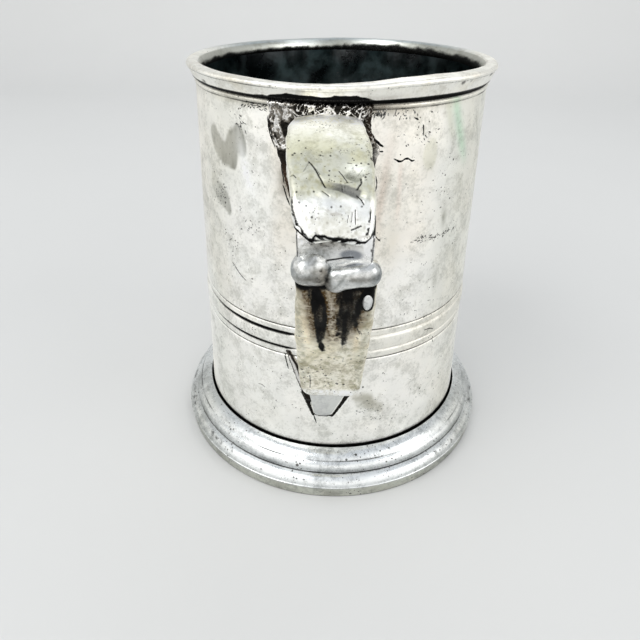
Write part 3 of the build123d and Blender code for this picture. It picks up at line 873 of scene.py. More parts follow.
def build_lip(material):
    """The flared lip: wavy, nicked, and black underneath near the handle, with dirt and painted shade."""
    a, r, z, faces = turned(lip_outline())
    share = step(z, UNDER_LIP_Z, BRIM_Z)
    inward = step(r, LIP_R, MOUTH_R)
    turned_z = z
    wear_and_light = WearAndLight(a)
    outer = step(r, LIP_R - 1.8, LIP_R - 1.0)
    scored = np.maximum(between(a, -14, -22, -74, -62), 0.7 * step(a, 8, 16))
    line = bump(z, LIP_LINE_Z, 0.17) * outer * scored
    r = r - 0.12 * line
    z = z + brim_lift(a) * (0.25 + 0.45 * share + 0.30 * share * inward)
    places = polar(a, MID_R, z)
    r = r + 0.12 * noise(places, 11.0, 83) + 0.05 * fractal(places, 3.0, 2, 85)
    nick = step(noise(places, 2.2, 87), 0.66, 0.88) * outer
    r = r - 0.14 * nick
    ragged = clouds(places, 2.5, 3, 93)
    patchy = 0.5 + 0.5 * noise(places, 7.0, 91)
    root = between(a, -34, -14, 14.0, 5.0)
    # Black on the underside, and up the skirt near the handle: dirt and painted shade under the lip
    tucked = step(turned_z, UNDER_LIP_Z + 0.5, UNDER_LIP_Z + 0.15)
    wear_and_light.dirt_and_shade(1.15 * tucked * step(r, MOUTH_R + 0.2, MOUTH_R + 0.6))
    reach = UNDER_LIP_Z + 0.35 + (1.15 + 0.4 * noise(places, 4.0, 89) + 0.35 * noise(places, 1.2, 90)) * root
    wear_and_light.dirt_and_shade(1.2 * step(root, 0.0, 0.2) * step(turned_z, reach, reach - 0.35) * outer)
    wear_and_light.dirt_and_shade(line * (0.45 + 0.4 * patchy))
    wear_and_light.dirt_and_shade(0.7 * nick)
    cove = step(r, MOUTH_R + 0.05, MOUTH_R - 0.15)
    depth = BRIM_Z - turned_z
    end = 2.2 + 2.2 * (ragged - 0.5) - 0.9 * step(a, 60, 100)
    wear_and_light.dirt_and_shade(0.92 * cove * step(depth, end - 0.7, end + 0.9))
    cloud = clouds(places, 6.0, 3, 95)
    back = step(np.abs(a), 95, 130)
    wear_and_light.colour(back * (0.7 + 0.3 * cloud), (0.34, 0.40, 0.45))
    wear_and_light.colour(0.8 * cove * step(np.abs(a), 50, 90), (0.40, 0.41, 0.39))
    glint = bump(around(a + 160), 0, 9) + bump(around(a - 163), 0, 9)
    wear_and_light.colour(0.9 * glint * step(r, MOUTH_R + 0.6, MOUTH_R), (1.15, 1.2, 1.22))
    wear_and_light.colour(0.35 * step(cloud, 0.5, 0.8) * outer, (0.95, 0.90, 0.78))
    wear_and_light.stain = 0.30 * bump(a, 14, 8) * outer * step(turned_z, UNDER_LIP_Z + 1.8, UNDER_LIP_Z + 0.6)
    wear_and_light.dull = 0.04 * cloud
    return turned_piece("lip", a, r, z, faces, material, "lip_ring", wear_and_light.marks())


def foot_outline():
    """The foot's closed outline: shoulder, round, groove, wide round, upright edge, and hollow beneath."""
    seam_r = drum_r(FOOT_TOP_Z)
    top_in = (seam_r - 0.6, FOOT_TOP_Z - 1.1)

    def foot(inwards, down):
        return FOOT_R - inwards, FOOT_TOP_Z - down

    return traced(top_in, (
        (2, (seam_r + 0.70, FOOT_TOP_Z - 0.12)),
        (3, (seam_r + 0.85, FOOT_TOP_Z - 0.02), (seam_r + 1.03, FOOT_TOP_Z - 0.06)),
        (9, foot(6.4, 0.78), foot(4.9, 2.1)),
        (3, foot(4.62, 2.34)),
        (12, foot(3.42, 3.5), foot(3.15, 5.4)),
        (3, foot(3.5, 5.9)),
        (3, foot(3.0, 6.15)),
        (11, foot(1.05, 7.35), foot(0.25, 9.08)),
        (3, foot(0.07, 9.24), foot(0.05, 9.46)),
        (7, (FOOT_R - 0.42, 0.55)),
        (4, (FOOT_R - 0.54, 0.14), (FOOT_R - 0.95, 0.0)),
        (3, (FOOT_R - 2.9, 0.0)),
        (4, (FOOT_R - 3.1, 2.4)),
        (8, (FOOT_R - 4.5, 5.1), (FOOT_R - 7.7, Drum.low - 1.9)),
        (5, (Drum.low_r - 3.8, Drum.low - 1.8)),
        (3, (Drum.low_r - 3.8, Drum.low)),
        (4, (Drum.low_r - 0.3, Drum.low)),
        (3, top_in),
    ))


def build_foot(material):
    """The moulded foot, nicked along its edge and dirty in its lines, with a painted darker reflection on its
    round and painted shade at its sides.
    """
    a, r, z, faces = turned(foot_outline())
    places = polar(a, r, z)
    outer = step(r, drum_r(FOOT_TOP_Z) + 0.4, drum_r(FOOT_TOP_Z) + 1.2) * step(z, 0.05, 0.6)
    r = r + outer * (0.07 * noise(places, 13.0, 101) + 0.025 * fractal(places, 2.6, 2, 103))
    edge = bump(z, FOOT_TOP_Z - 9.2, 0.5) * step(r, FOOT_R - 1.2, FOOT_R - 0.4)
    chips = step(noise(places, 3.2, 105), 0.55, 0.85)
    r = r - 0.18 * edge * chips
    z = z - 0.10 * edge * chips
    patchy = clouds(places, 9.0, 2, 107)
    down, inwards = FOOT_TOP_Z - z, FOOT_R - r
    wear_and_light = WearAndLight(a)
    wear_and_light.dirt_and_shade(1.2 * step(r, drum_r(FOOT_TOP_Z) + 1.0, drum_r(FOOT_TOP_Z) + 0.55) * step(down, 1.5, 1.0))
    upper_line = bump(down, 2.2, 0.16) * between(inwards, 5.6, 5.0, 4.0, 4.4)
    wear_and_light.dirt_and_shade(upper_line * (0.30 + 0.55 * step(patchy, 0.35, 0.7)))
    groove = bump(down, 5.88, 0.24) * between(inwards, 4.2, 3.8, 2.2, 2.9)
    wear_and_light.dirt_and_shade(groove * (0.85 + 0.3 * patchy))
    sides = step(np.abs(a), 12, 50)
    below = between(down, 6.1, 6.6, 8.2, 7.2) * step(inwards, 3.4, 3.0)
    wear_and_light.dirt_and_shade(below * sides * step(clouds(places, 1.6, 3, 109), 0.46, 0.78) * 0.75)
    wear_and_light.dirt_and_shade(0.5 * bump(down, 9.45, 0.16) * step(inwards, 0.8, 0.3))
    wear_and_light.dirt_and_shade(0.8 * step(z, 0.75, 0.1) * step(inwards, 2.0, 1.2))
    under = step(inwards, 2.8, 3.1) * step(down, 3.0, 5.0)
    wear_and_light.dirt_and_shade(0.45 * under * (0.5 + patchy))
    upright = step(down, 9.2, 9.7) * step(inwards, 2.0, 1.0)
    wear_and_light.colour(0.75 * upright, (0.66, 0.65, 0.55))
    # Painted darker reflection across the middle of the round
    round_reflection = bump(down, 4.4, 0.9) * step(inwards, 5.0, 4.0)
    wear_and_light.colour(0.55 * round_reflection * (0.4 + 0.6 * patchy), (0.70, 0.71, 0.72))
    # Darker towards both sides: painted shade
    wear_and_light.colour(0.9 * bump(np.abs(a), 62, 24) * (0.45 + 0.55 * patchy), (0.50, 0.50, 0.46))
    wear_and_light.stain = 0.22 * upright * step(patchy, 0.4, 0.8)
    wear_and_light.dull = 0.10 * upright + 0.2 * under
    return turned_piece("foot", a, r, z, faces, material, "foot_ring", wear_and_light.marks())


DISC_COLUMNS = 160


def disc(radius_rows, z_of):
    """Points and faces of a round sheet about the axis, with a point at its centre."""
    columns = DISC_COLUMNS
    azimuth = np.arange(columns) * 360 / columns
    a, r = np.meshgrid(azimuth, radius_rows)
    ring = polar(a, r, z_of(a, r)).reshape(-1, 3)
    centre = polar(0.0, 0.0, z_of(np.array(0.0), np.array(0.0)))[None, :]
    faces = grid_faces(len(radius_rows), columns, False, True)
    last = len(ring)
    faces += [[last, c, (c + 1) % columns] for c in range(columns)]
    return np.concatenate([ring, centre]), faces


def build_base(material):
    """The bottom plate, slightly bellied, with the marks of turning on both faces."""
    low, high, radius = BASE_LOW.z, BASE_HIGH.z, BASE_HIGH.x - 0.15

    def face(level, sign):
        def height(a, r):
            rings = 0.045 * np.sin(r * 2.3) + 0.02 * np.sin(r * 6.1 + 1.0)
            belly = 0.5 * (1 - (r / radius) ** 2)
            return level - belly + sign * rings + 0.12 * noise(polar(a, r, 0.0), 13.0, 111)
        return height

    rows = np.linspace(1.2, radius, 44)
    top, faces = disc(rows, face(high, 1))
    under, under_faces = disc(rows, face(low, -1))
    shift = len(top)
    edge = (len(rows) - 1) * DISC_COLUMNS
    faces += [[i + shift for i in reversed(f)] for f in under_faces]
    for c in range(edge, edge + DISC_COLUMNS):
        following = c + 1 if c + 1 < edge + DISC_COLUMNS else edge
        faces.append([c, following, shift + following, shift + c])
    points = np.concatenate([top, under])
    marks = {
        "polish_and_sheen": 0.35 * step(clouds(points, 14.0, 3, 113), 0.35, 0.75),
        "tint": np.full((len(points), 4), 1.3),
    }
    return make_piece("bottom_plate", points, faces, material, "base_plate", marks)


def build_fillet(name, node, corner, material, up):
    """A lumpy ring of solder in a corner. up is 1 above the plate and -1 under it."""
    leg = 1.5
    r0, z0 = corner
    heel, tip = (r0 + 0.25, z0 - 0.25 * up), (r0 + 0.2, z0 + leg * up)
    outline = traced(heel, (
        (4, tip),
        (7, (r0 - 0.38 * leg, z0 + 0.38 * leg * up), (r0 - leg, z0)),
        (3, heel),
    ))
    a, r, z, faces = turned(outline)
    places = polar(a, r, z)
    free = step(r, r0 + 0.1, r0 - 0.3)
    swell = free * (0.28 * noise(places, 3.4, 121) + 0.12 * fractal(places, 1.2, 2, 123))
    r, z = r - swell * 0.7, z + swell * 0.7 * up
    crest = (0.35 + 0.4 * fractal(places, 2.0, 2, 125)).ravel()
    none = np.zeros(a.size)
    marks = {"crest": crest, "stain": none, "clean": none}
    return turned_piece(name, a, r, z, faces, material, node, marks)


# ---- Handle

class Spine:
    """A casting's course, measured on its CAD node: its outer and inner face and its two sides.

    lead carries the course on, back from its first place, so that the piece starts inside the wall."""

    def __init__(self, node, starts, ways, lead=0.0):
        surface = tree(node)
        outer, inner, sides = [], [], []
        for start, way in zip(starts, ways):
            found = hits(surface, start, way)
            outer.append((-found[0].y, found[0].z))
            inner.append((-found[-1].y, found[-1].z))
            middle = (found[0] + found[-1]) / 2
            left = hits(surface, (-40, middle.y, middle.z), (1, 0, 0))
            right = hits(surface, (40, middle.y, middle.z), (-1, 0, 0))
            sides.append((left[0].x, right[0].x))
        back = np.subtract(outer[0], outer[1])
        back = back / np.hypot(*back) * lead
        if lead:
            outer, inner, sides = [outer[0] + back, *outer], [inner[0] + back, *inner], [sides[0], *sides]
        self.outer, self.inner, self.sides = (np.array(v) for v in (outer, inner, sides))
        gaps = np.hypot(*np.diff(self.outer, axis=0).T)
        self.length = np.concatenate([[0], np.cumsum(gaps)])

    def at(self, s):
        """Outer point, unit way out, depth, middle across and width at distance s along the outer face."""
        s = np.asarray(s, float)

        def read(values):
            return np.interp(s, self.length, values)

        reach, height = read(self.outer[:, 0]), read(self.outer[:, 1])
        deep_r, deep_h = read(self.inner[:, 0]) - reach, read(self.inner[:, 1]) - height
        depth = np.hypot(deep_r, deep_h)
        middle = read(self.sides.mean(axis=1))
        width = read(self.sides[:, 1] - self.sides[:, 0])
        return reach, height, -deep_r / depth, -deep_h / depth, depth, middle, width


STRAP_ZERO = 36.5           # distance from the axis at which the upper casting's length counts from 0
STRAP_LEAD = 2.4


def upper_spine():
    """The upper casting's course, by rays from all round it towards a hub inside the finger gap."""
    points = cad_points("upper_handle")
    tip = points[points[:, 1].argmin()]
    hub_reach, hub_height = -tip[1] - 24.7, tip[2] - 14.1
    turns = np.radians(np.linspace(-9.0, 59.5, 60))
    starts = [(-1.3, -(hub_reach + 60 * sin(t)), hub_height + 60 * cos(t)) for t in turns]
    ways = [(0, sin(t), -cos(t)) for t in turns]
    spine = Spine("upper_handle", starts, ways, STRAP_LEAD)
    spine.length += spine.outer[0, 0] - STRAP_ZERO
    return spine


def lower_spine():
    """The lower casting's course, by rays that come in square to its slope."""
    points = cad_points("lower_handle")
    tip = points[points[:, 1].argmin()]
    heights = np.linspace(tip[2] - 0.05, points[:, 2].min() + 0.08, 60)
    share = np.linspace(0, 1, 60)
    slope = np.radians(np.interp(share, (0, 0.15, 0.6, 1.0), (-16.4, -22.0, -24.0, 0.0)))
    surface = tree("lower_handle")
    starts, ways = [], []
    for h, t in zip(heights, slope):
        face = hits(surface, (0.2, -100, h), (0, 1, 0))[0]
        way = Vector((0, cos(t), -sin(t)))
        starts.append(tuple(face - way * 20))
        ways.append(tuple(way))
    return Spine("lower_handle", starts, ways)


def section(width, depth, corner, crown, counts):
    """A rounded bar's section: offsets across and inward, in order from the outer face's left corner.

    corner is the rounding of the outer and the inner edges, and crown how far the face bulges."""
    face, bend, side, back = counts
    outer, inner = corner
    half = width / 2
    t = np.linspace(-1, 1, face)
    quarter = np.linspace(0, pi / 2, bend + 2)[1:-1]
    rise, fall = np.sin(quarter), np.cos(quarter)
    parts = (
        (t * (half - outer), -crown * (1 - t ** 2)),
        (half - outer + outer * rise, outer - outer * fall),
        (np.full(side, half), np.linspace(outer, depth - inner, side)),
        (half - inner + inner * fall, depth - inner + inner * rise),
        (np.linspace(half - inner, inner - half, back), np.full(back, depth)),
        (inner - half - inner * rise, depth - inner + inner * fall),
        (np.full(side, -half), np.linspace(depth - inner, outer, side)),
        (outer - half - outer * fall, outer - outer * rise),
    )
    return tuple(np.concatenate(v) for v in zip(*parts))


def stacked(rows):
    """One array for each member of the rows."""
    return tuple(np.array(v) for v in zip(*rows))


def bar(spine, stations, counts, corner, crown, shape):
    """Rings of a casting. shape gives how much each point moves out, across and along.

    It is told the distance s, each point's place across the mug, its place across the section, how far in it
    lies, and the section's width."""
    found = []
    reach, height, out_r, out_h, depth, middle, width = spine.at(stations)
    for i, s in enumerate(stations):
        x, d = section(width[i], depth[i], corner(s), crown(s), counts)
        out, side, forward = shape(s, middle[i] + x, x, d, width[i])
        lift = out - d
        r = reach[i] + out_r[i] * lift + out_h[i] * forward
        h = height[i] + out_h[i] * lift - out_r[i] * forward
        found.append((np.stack([middle[i] + x + side, -r, h], -1), middle[i] + x, d, np.full(len(x), s)))
    return stacked(found)


def capped(rings):
    """Points and faces of a closed bar: rings joined in order, and a fan at each end."""
    ends = [rings[0].mean(axis=0), rings[-1].mean(axis=0)]
    return np.concatenate([rings.reshape(-1, 3), ends]), closed_faces(*rings.shape[:2])


def rounded_end(rings, x, d, s, end, forward, inset):
    """Adds rings past the last one that draw in towards its middle, which rounds the bar's end."""
    _, _, out_r, out_h, *_ = end
    last = rings[-1]
    away = last.mean(axis=0) - last
    reach = np.linalg.norm(away, axis=1, keepdims=True)
    way = np.array([0.0, -out_h, -out_r])
    towards = away / reach
    more = [last + towards * np.minimum(draw, reach * 0.8) + way * on for on, draw in zip(forward, inset)]
    x, d = (np.concatenate([v, [v[-1]] * len(more)]) for v in (x, d))
    return np.concatenate([rings, more]), x, d, np.concatenate([s, [s[-1] + on for on in forward]])


def scratch_relief(x, s, scratches):
    """How deep a casting's scratches are at each place, as a share of their full depth."""
    return sum(dark * bump(to_line(x, s, route)[0], 0, half) for route, half, dark in scratches)


def fill_scratches(wear_and_light, x, s, face, scratches, dots, level, dot_size, squash=1.0):
    """Dirt in a casting's scratches and dots, whose length along it is divided by squash."""
    for route, half, dark in scratches:
        wear_and_light.dirt_and_shade(level * dark * bump(to_line(x, s, route)[0], 0, half) * face)
    for dot_x, dot_s in dots:
        wear_and_light.dirt_and_shade(level * bump(np.hypot(x - dot_x, (s - dot_s) * squash), 0, dot_size) * face)


def break_line(x):
    """How far the upper casting's broken edge lies short of its nominal end, at each place across."""
    at = (-8.6, -7.6, -6.4, -5.4, -4.6, -3.8, -2.4, 0.0, 3.2, 5.0, 6.0, 6.8, 7.6)
    short = (2.8, 1.7, 0.7, -0.1, -0.3, 0.55, 0.5, 0.1, -0.1, -0.6, -0.5, 0.3, 1.8)
    return np.interp(x, at, short) + 0.14 * noise(np.stack([x, x * 0, x * 0], -1), 0.8, 131)


STRAP_DENT = (3.5, 28.3)
STRAP_CREASE = ((-6.8, 28.7), (-4.6, 28.9), (-2.3, 30), (0.6, 30.5), (2.6, 31.2), (4.6, 32))
# Scratches: the route, its half-width, and how dark it is
STRAP_SCRATCHES = (
    (((-5.7, 24.6), (-4.8, 26.1), (-3.7, 28.2), (-2.4, 30.5)), 0.20, 1),
    (((-5.3, 24.9), (-4.4, 26.4), (-3.5, 27.8)), 0.12, 0.7),
    (((-5.7, 24.6), (-6.4, 26.2), (-6.9, 27.2)), 0.14, 0.7),
    (((0.3, 26.9), (1.1, 28), (2, 29.4)), 0.16, 0.9),
    (((1.9, 24.7), (2.8, 24.9)), 0.14, 0.9),
    (((4.6, 28.4), (4.7, 29.4), (3.9, 30.8)), 0.24, 0.95),
    (((4, 27.6), (4.9, 26.4)), 0.12, 0.7),
    (((1.4, 29.6), (3, 29.2)), 0.14, 0.7),
    (((-3, 31.4), (-1.6, 32.4)), 0.15, 0.85),
    (((3.8, 32), (4.7, 32.9), (5.3, 33.9)), 0.17, 1),
    (((-9.3, 28.1), (-8.7, 28), (-8.2, 28.6)), 0.14, 0.9),
    (((5, 27.6), (6.2, 27.2)), 0.14, 0.8),
    (((3.7, 35), (3.8, 37.7)), 0.13, 1.2),
    (((3.1, 35.4), (3.1, 37.2)), 0.10, 1.1),
    (((2.4, 36), (2.3, 37.4)), 0.09, 1),
    (((3.1, 38.8), (4.9, 38)), 0.18, 1.2),
    (((0.9, 30), (1.1, 31.4)), 0.10, 0.9),
    (((1.5, 30.1), (1.6, 31.3)), 0.08, 0.8),
)
STRAP_DOTS = (
    (-3.4, 22.8), (-1.4, 22.9), (-7.9, 31.6), (-4.6, 31.5), (0.9, 34.4), (-0.9, 34.6), (4.9, 34.3),
    (-7.2, 33.8),
)


def strap_relief(x, s):
    """How far the upper casting's outer face stands out at across x and distance s, in millimetres."""
    place = np.stack([x, s, x * 0], -1)
    out = 0.13 * noise(place, 6.0, 141) + 0.04 * fractal(place, 1.6, 3, 143)
    dx, ds = STRAP_DENT
    out -= 0.40 * bump(x, dx, 1.5) * bump(s, ds + 0.3, 1.3)
    out += 0.20 * bump(x, dx + 0.2, 2.3) * bump(s, ds - 2.4, 0.9)
    away, along = to_line(x, s, STRAP_CREASE)
    out -= 0.34 * bump(away, 0, 0.7) * step(along, 0.1, 0.6)
    out += 0.10 * bump(away, 1.6, 0.8)
    out -= 0.07 * scratch_relief(x, s, STRAP_SCRATCHES)
    out += 0.28 * bump(s, 35.5, 3.2) * bump(x, -1.0, 7.0)
    out -= 0.16 * bump(s, 22.0, 5.0) * bump(x, 0, 6.0)
    return out


def build_upper(material):
    """The upper casting: a battered strap from the drum to its broken lower edge."""
    spine = upper_spine()
    total = spine.length[-1]
    counts = (92, 6, 9, 20)

    def corner(s):
        return 1.15 + 0.3 * float(noise(np.array([s, 3.0, 0.0]), 3.5, 151)), 1.2

    def crown(s):
        return 0.10 + 0.42 * float(step(s, 18, 6))

    def shape(s, across, x, d, width):
        face = step(d, 1.6, 0.2)
        out = strap_relief(across, np.full_like(x, s)) * face
        near_end = float(step(s, total - 9.0, total))
        forward = -break_line(across) * near_end
        side = 0.16 * noise(np.stack([np.sign(x) * 9, np.full_like(x, s), d * 0.3], -1), 4.5, 153)
        nibble = 0.18 * noise(np.stack([np.sign(x) * 5, np.full_like(x, s), d], -1), 1.5, 155)
        side = side + 0.5 * (x < 0) * float(step(s, 12.0, 5.0))
        return out, side + nibble * step(np.abs(x), width / 2 - 1.2, width / 2), forward

    start = spine.length[0]
    stations = np.concatenate([np.linspace(start, 20, 34), np.linspace(20.25, total, 110)])
    rings, x, d, s = bar(spine, stations, counts, corner, crown, shape)
    rings, x, d, s = rounded_end(rings, x, d, s, spine.at(total), (0.18, 0.42, 0.62), (0.16, 0.45, 1.0))
    points, faces = capped(rings)
    near_end = step(s, total - 9.0, total)
    s = s - break_line(x) * near_end
    place = np.stack([x, s, d], -1)
    face = step(d, 1.3, 0.3)
    cloud = clouds(place, 4.0, 3, 161)
    rough = clouds(place, 1.0, 3, 163)
    away, along = to_line(x, s, STRAP_CREASE)
    crease = bump(away, 0.0, 0.42 + 0.40 * along) * between(along, 0.0, 0.5, 1.01, 0.94)
    hollow = bump(x, STRAP_DENT[0] - 0.1, 2.0) * bump(s, STRAP_DENT[1] - 0.5, 1.9)
    pit = step(hollow + 0.7 * (rough - 0.5), 0.34, 0.66)
    facet = step(bump(away, -0.1, 0.6 + 0.85 * along) + 0.3 * (rough - 0.5), 0.35, 0.62)
    facet = facet * between(along, 0.25, 0.6, 1.0, 0.97)
    wear_and_light = WearAndLight(x)
    wear_and_light.dirt_and_shade(0.34 * crease * (0.3 + 1.1 * rough))
    wear_and_light.dirt_and_shade(0.28 * facet)
    wear_and_light.dirt_and_shade(0.34 * pit * (0.4 + rough))
    fill_scratches(wear_and_light, x, s, face, STRAP_SCRATCHES, STRAP_DOTS, 0.95, 0.26)
    end = total - break_line(x)
    edge = bump(end - s + 0.7 * (rough - 0.5), 0.0, 0.30 + 0.60 * step(rough, 0.4, 0.7))
    wear_and_light.dirt_and_shade(1.15 * edge * step(cloud, 0.10, 0.35))
    ragged = 0.9 * (rough - 0.5)
    left_at = np.interp(s, (30, 34, 36, 38, 40), (-8.9, -8.6, -8.2, -7.3, -5.8))
    left_line = bump(x + ragged, left_at, 0.20 + 0.40 * cloud) * step(s, 31.0, 34.0)
    right_at = np.interp(s, (32, 36, 39, 41), (6.9, 6.7, 6.3, 5.6))
    right_line = bump(x + 0.6 * ragged, right_at, 0.16 + 0.25 * cloud) * step(s, 33.0, 36.0)
    for line in (left_line, right_line):
        wear_and_light.dirt_and_shade(1.0 * line * face * step(rough, 0.30, 0.55))
    beyond = step(d, 3.5, 6.0)
    wear_and_light.dirt_and_shade(0.45 * beyond * cloud)
    wear_and_light.dirt_and_shade(1.1 * step(s, 4.4 + 0.6 * cloud, 4.0))
    middle = step(s + 2.0 * (cloud - 0.5), 34.0, 31.5) * step(s, 12, 24) * face
    wear_and_light.colour(middle * (0.55 + 0.45 * cloud), (0.52, 0.53, 0.465))
    freckles = step(clouds(place, 0.7, 2, 167), 0.56, 0.74) * (0.25 + 0.75 * middle)
    wear_and_light.colour(0.6 * freckles * face, (0.56, 0.55, 0.42))
    khaki = bump(s, 21.0, 5.5) * step(cloud, 0.30, 0.75) * face
    wear_and_light.colour(0.65 * khaki, (0.80, 0.79, 0.64))
    olive = bump(x, 4.4, 1.6) * bump(s, 21.0, 3.0) + bump(x, -8.0, 1.0) * bump(s, 25.0, 3.0)
    wear_and_light.colour(0.55 * olive * step(rough, 0.3, 0.7) * face, (0.66, 0.65, 0.48))
    # Painted cool reflection on the lower face below the crease
    wear_and_light.colour(0.8 * step(s, 31.8, 34.0) * face, (0.97, 0.99, 1.05))
    # Painted highlight over the upper part, where the strap bends back
    wear_and_light.colour(0.9 * step(s, 15.0, 8.0), (1.22, 1.21, 1.20))
    wear_and_light.colour(0.95 * facet * face, (0.26, 0.265, 0.265))
    tail = bump(away, 0.0, 0.55) * between(along, 0.0, 0.15, 0.6, 0.4)
    wear_and_light.colour(0.9 * tail * step(rough, 0.3, 0.6) * face, (0.46, 0.45, 0.34))
    wear_and_light.colour(0.90 * pit * face, (0.36, 0.37, 0.33))
    shine = bump(x, STRAP_DENT[0] + 0.4, 2.4) * bump(s, STRAP_DENT[1] - 2.2, 1.3)
    wear_and_light.colour(0.9 * shine * face, (1.16, 1.18, 1.18))
    edge_shine = bump(d, 1.1, 0.5) * step(s, 4.5, 8.0)
    wear_and_light.colour(0.8 * edge_shine, (1.18, 1.18, 1.14))
    pink = step(noise(place, 0.8, 165), 0.45, 0.7) * step(s, 33, 36) * face
    wear_and_light.stain = 0.2 * beyond * cloud + 0.30 * pink
    wear_and_light.dull = (0.12 * step(s, 33.0, 30.0) - 0.08 * step(s, 31.8, 34.0)) * face
    marks = wear_and_light.marks(2)
    return make_piece("upper_casting", points, faces, material, "upper_handle", marks)


ARM_STREAK = ((-5.4, -1), (-5, 1.5), (-3.9, 5), (-3.1, 10), (-2.9, 17), (-2.8, 24), (-2.6, 31))
ARM_BLOTCH = ((3, -1), (3.1, 3), (3.6, 8), (3.4, 14), (2.7, 20), (2.5, 28.5))
ARM_STEP = ((-7.7, 40.4), (-6.4, 37.4), (-4.9, 34.3), (-3, 30.8))
ARM_SCRATCHES = (
    (((5.6, 17), (6.4, 20)), 0.22, 0.9),
    (((6.3, 18), (6.9, 20.4)), 0.14, 0.8),
    (((1, 20.5), (1.7, 19.4)), 0.20, 0.9),
    (((-5.4, 20), (-5.2, 22.6)), 0.12, 0.6),
    (((3, 35), (2.9, 38)), 0.14, 0.7),
    (((2.4, 43), (3.1, 45.6)), 0.11, 0.6),
    (((2.9, 46), (3.4, 49)), 0.10, 0.5),
    (((6.2, 38), (7, 37.6)), 0.16, 0.8),
    (((5.4, 40.6), (6.4, 39.6)), 0.16, 0.8),
    (((-6.2, 46.6), (-6, 49), (-6.1, 52.6)), 0.24, 0.75),
)
ARM_DOTS = (
    (-3.1, 41.3), (-2.6, 42.6), (-1, 35), (6.9, 33.6), (-0.9, 50), (0.6, 35.8), (-2.8, 36.6), (5, 36),
)


def arm_relief(x, s):
    """How far the lower casting's outer face stands out, in millimetres."""
    place = np.stack([x, s, x * 0], -1)
    out = 0.11 * noise(place, 6.5, 171) + 0.06 * fractal(place, 1.5, 3, 173)
    out -= 0.22 * bump(x, 0.0, 4.5) * bump(s, 12.0, 14.0)
    away, along = to_line(x, s, ARM_STREAK)
    out -= 0.30 * bump(away, 0, 1.2) * step(along, 1.0, 0.6)
    away, along = to_line(x, s, ARM_BLOTCH)
    out -= 0.22 * bump(away, 0, 2.2) * step(along, 1.0, 0.6)
    away, along = to_line(x, s, ARM_STEP)
    out += 0.18 * bump(away, 0.4, 0.9)
    return out - 0.14 * scratch_relief(x, s, ARM_SCRATCHES)


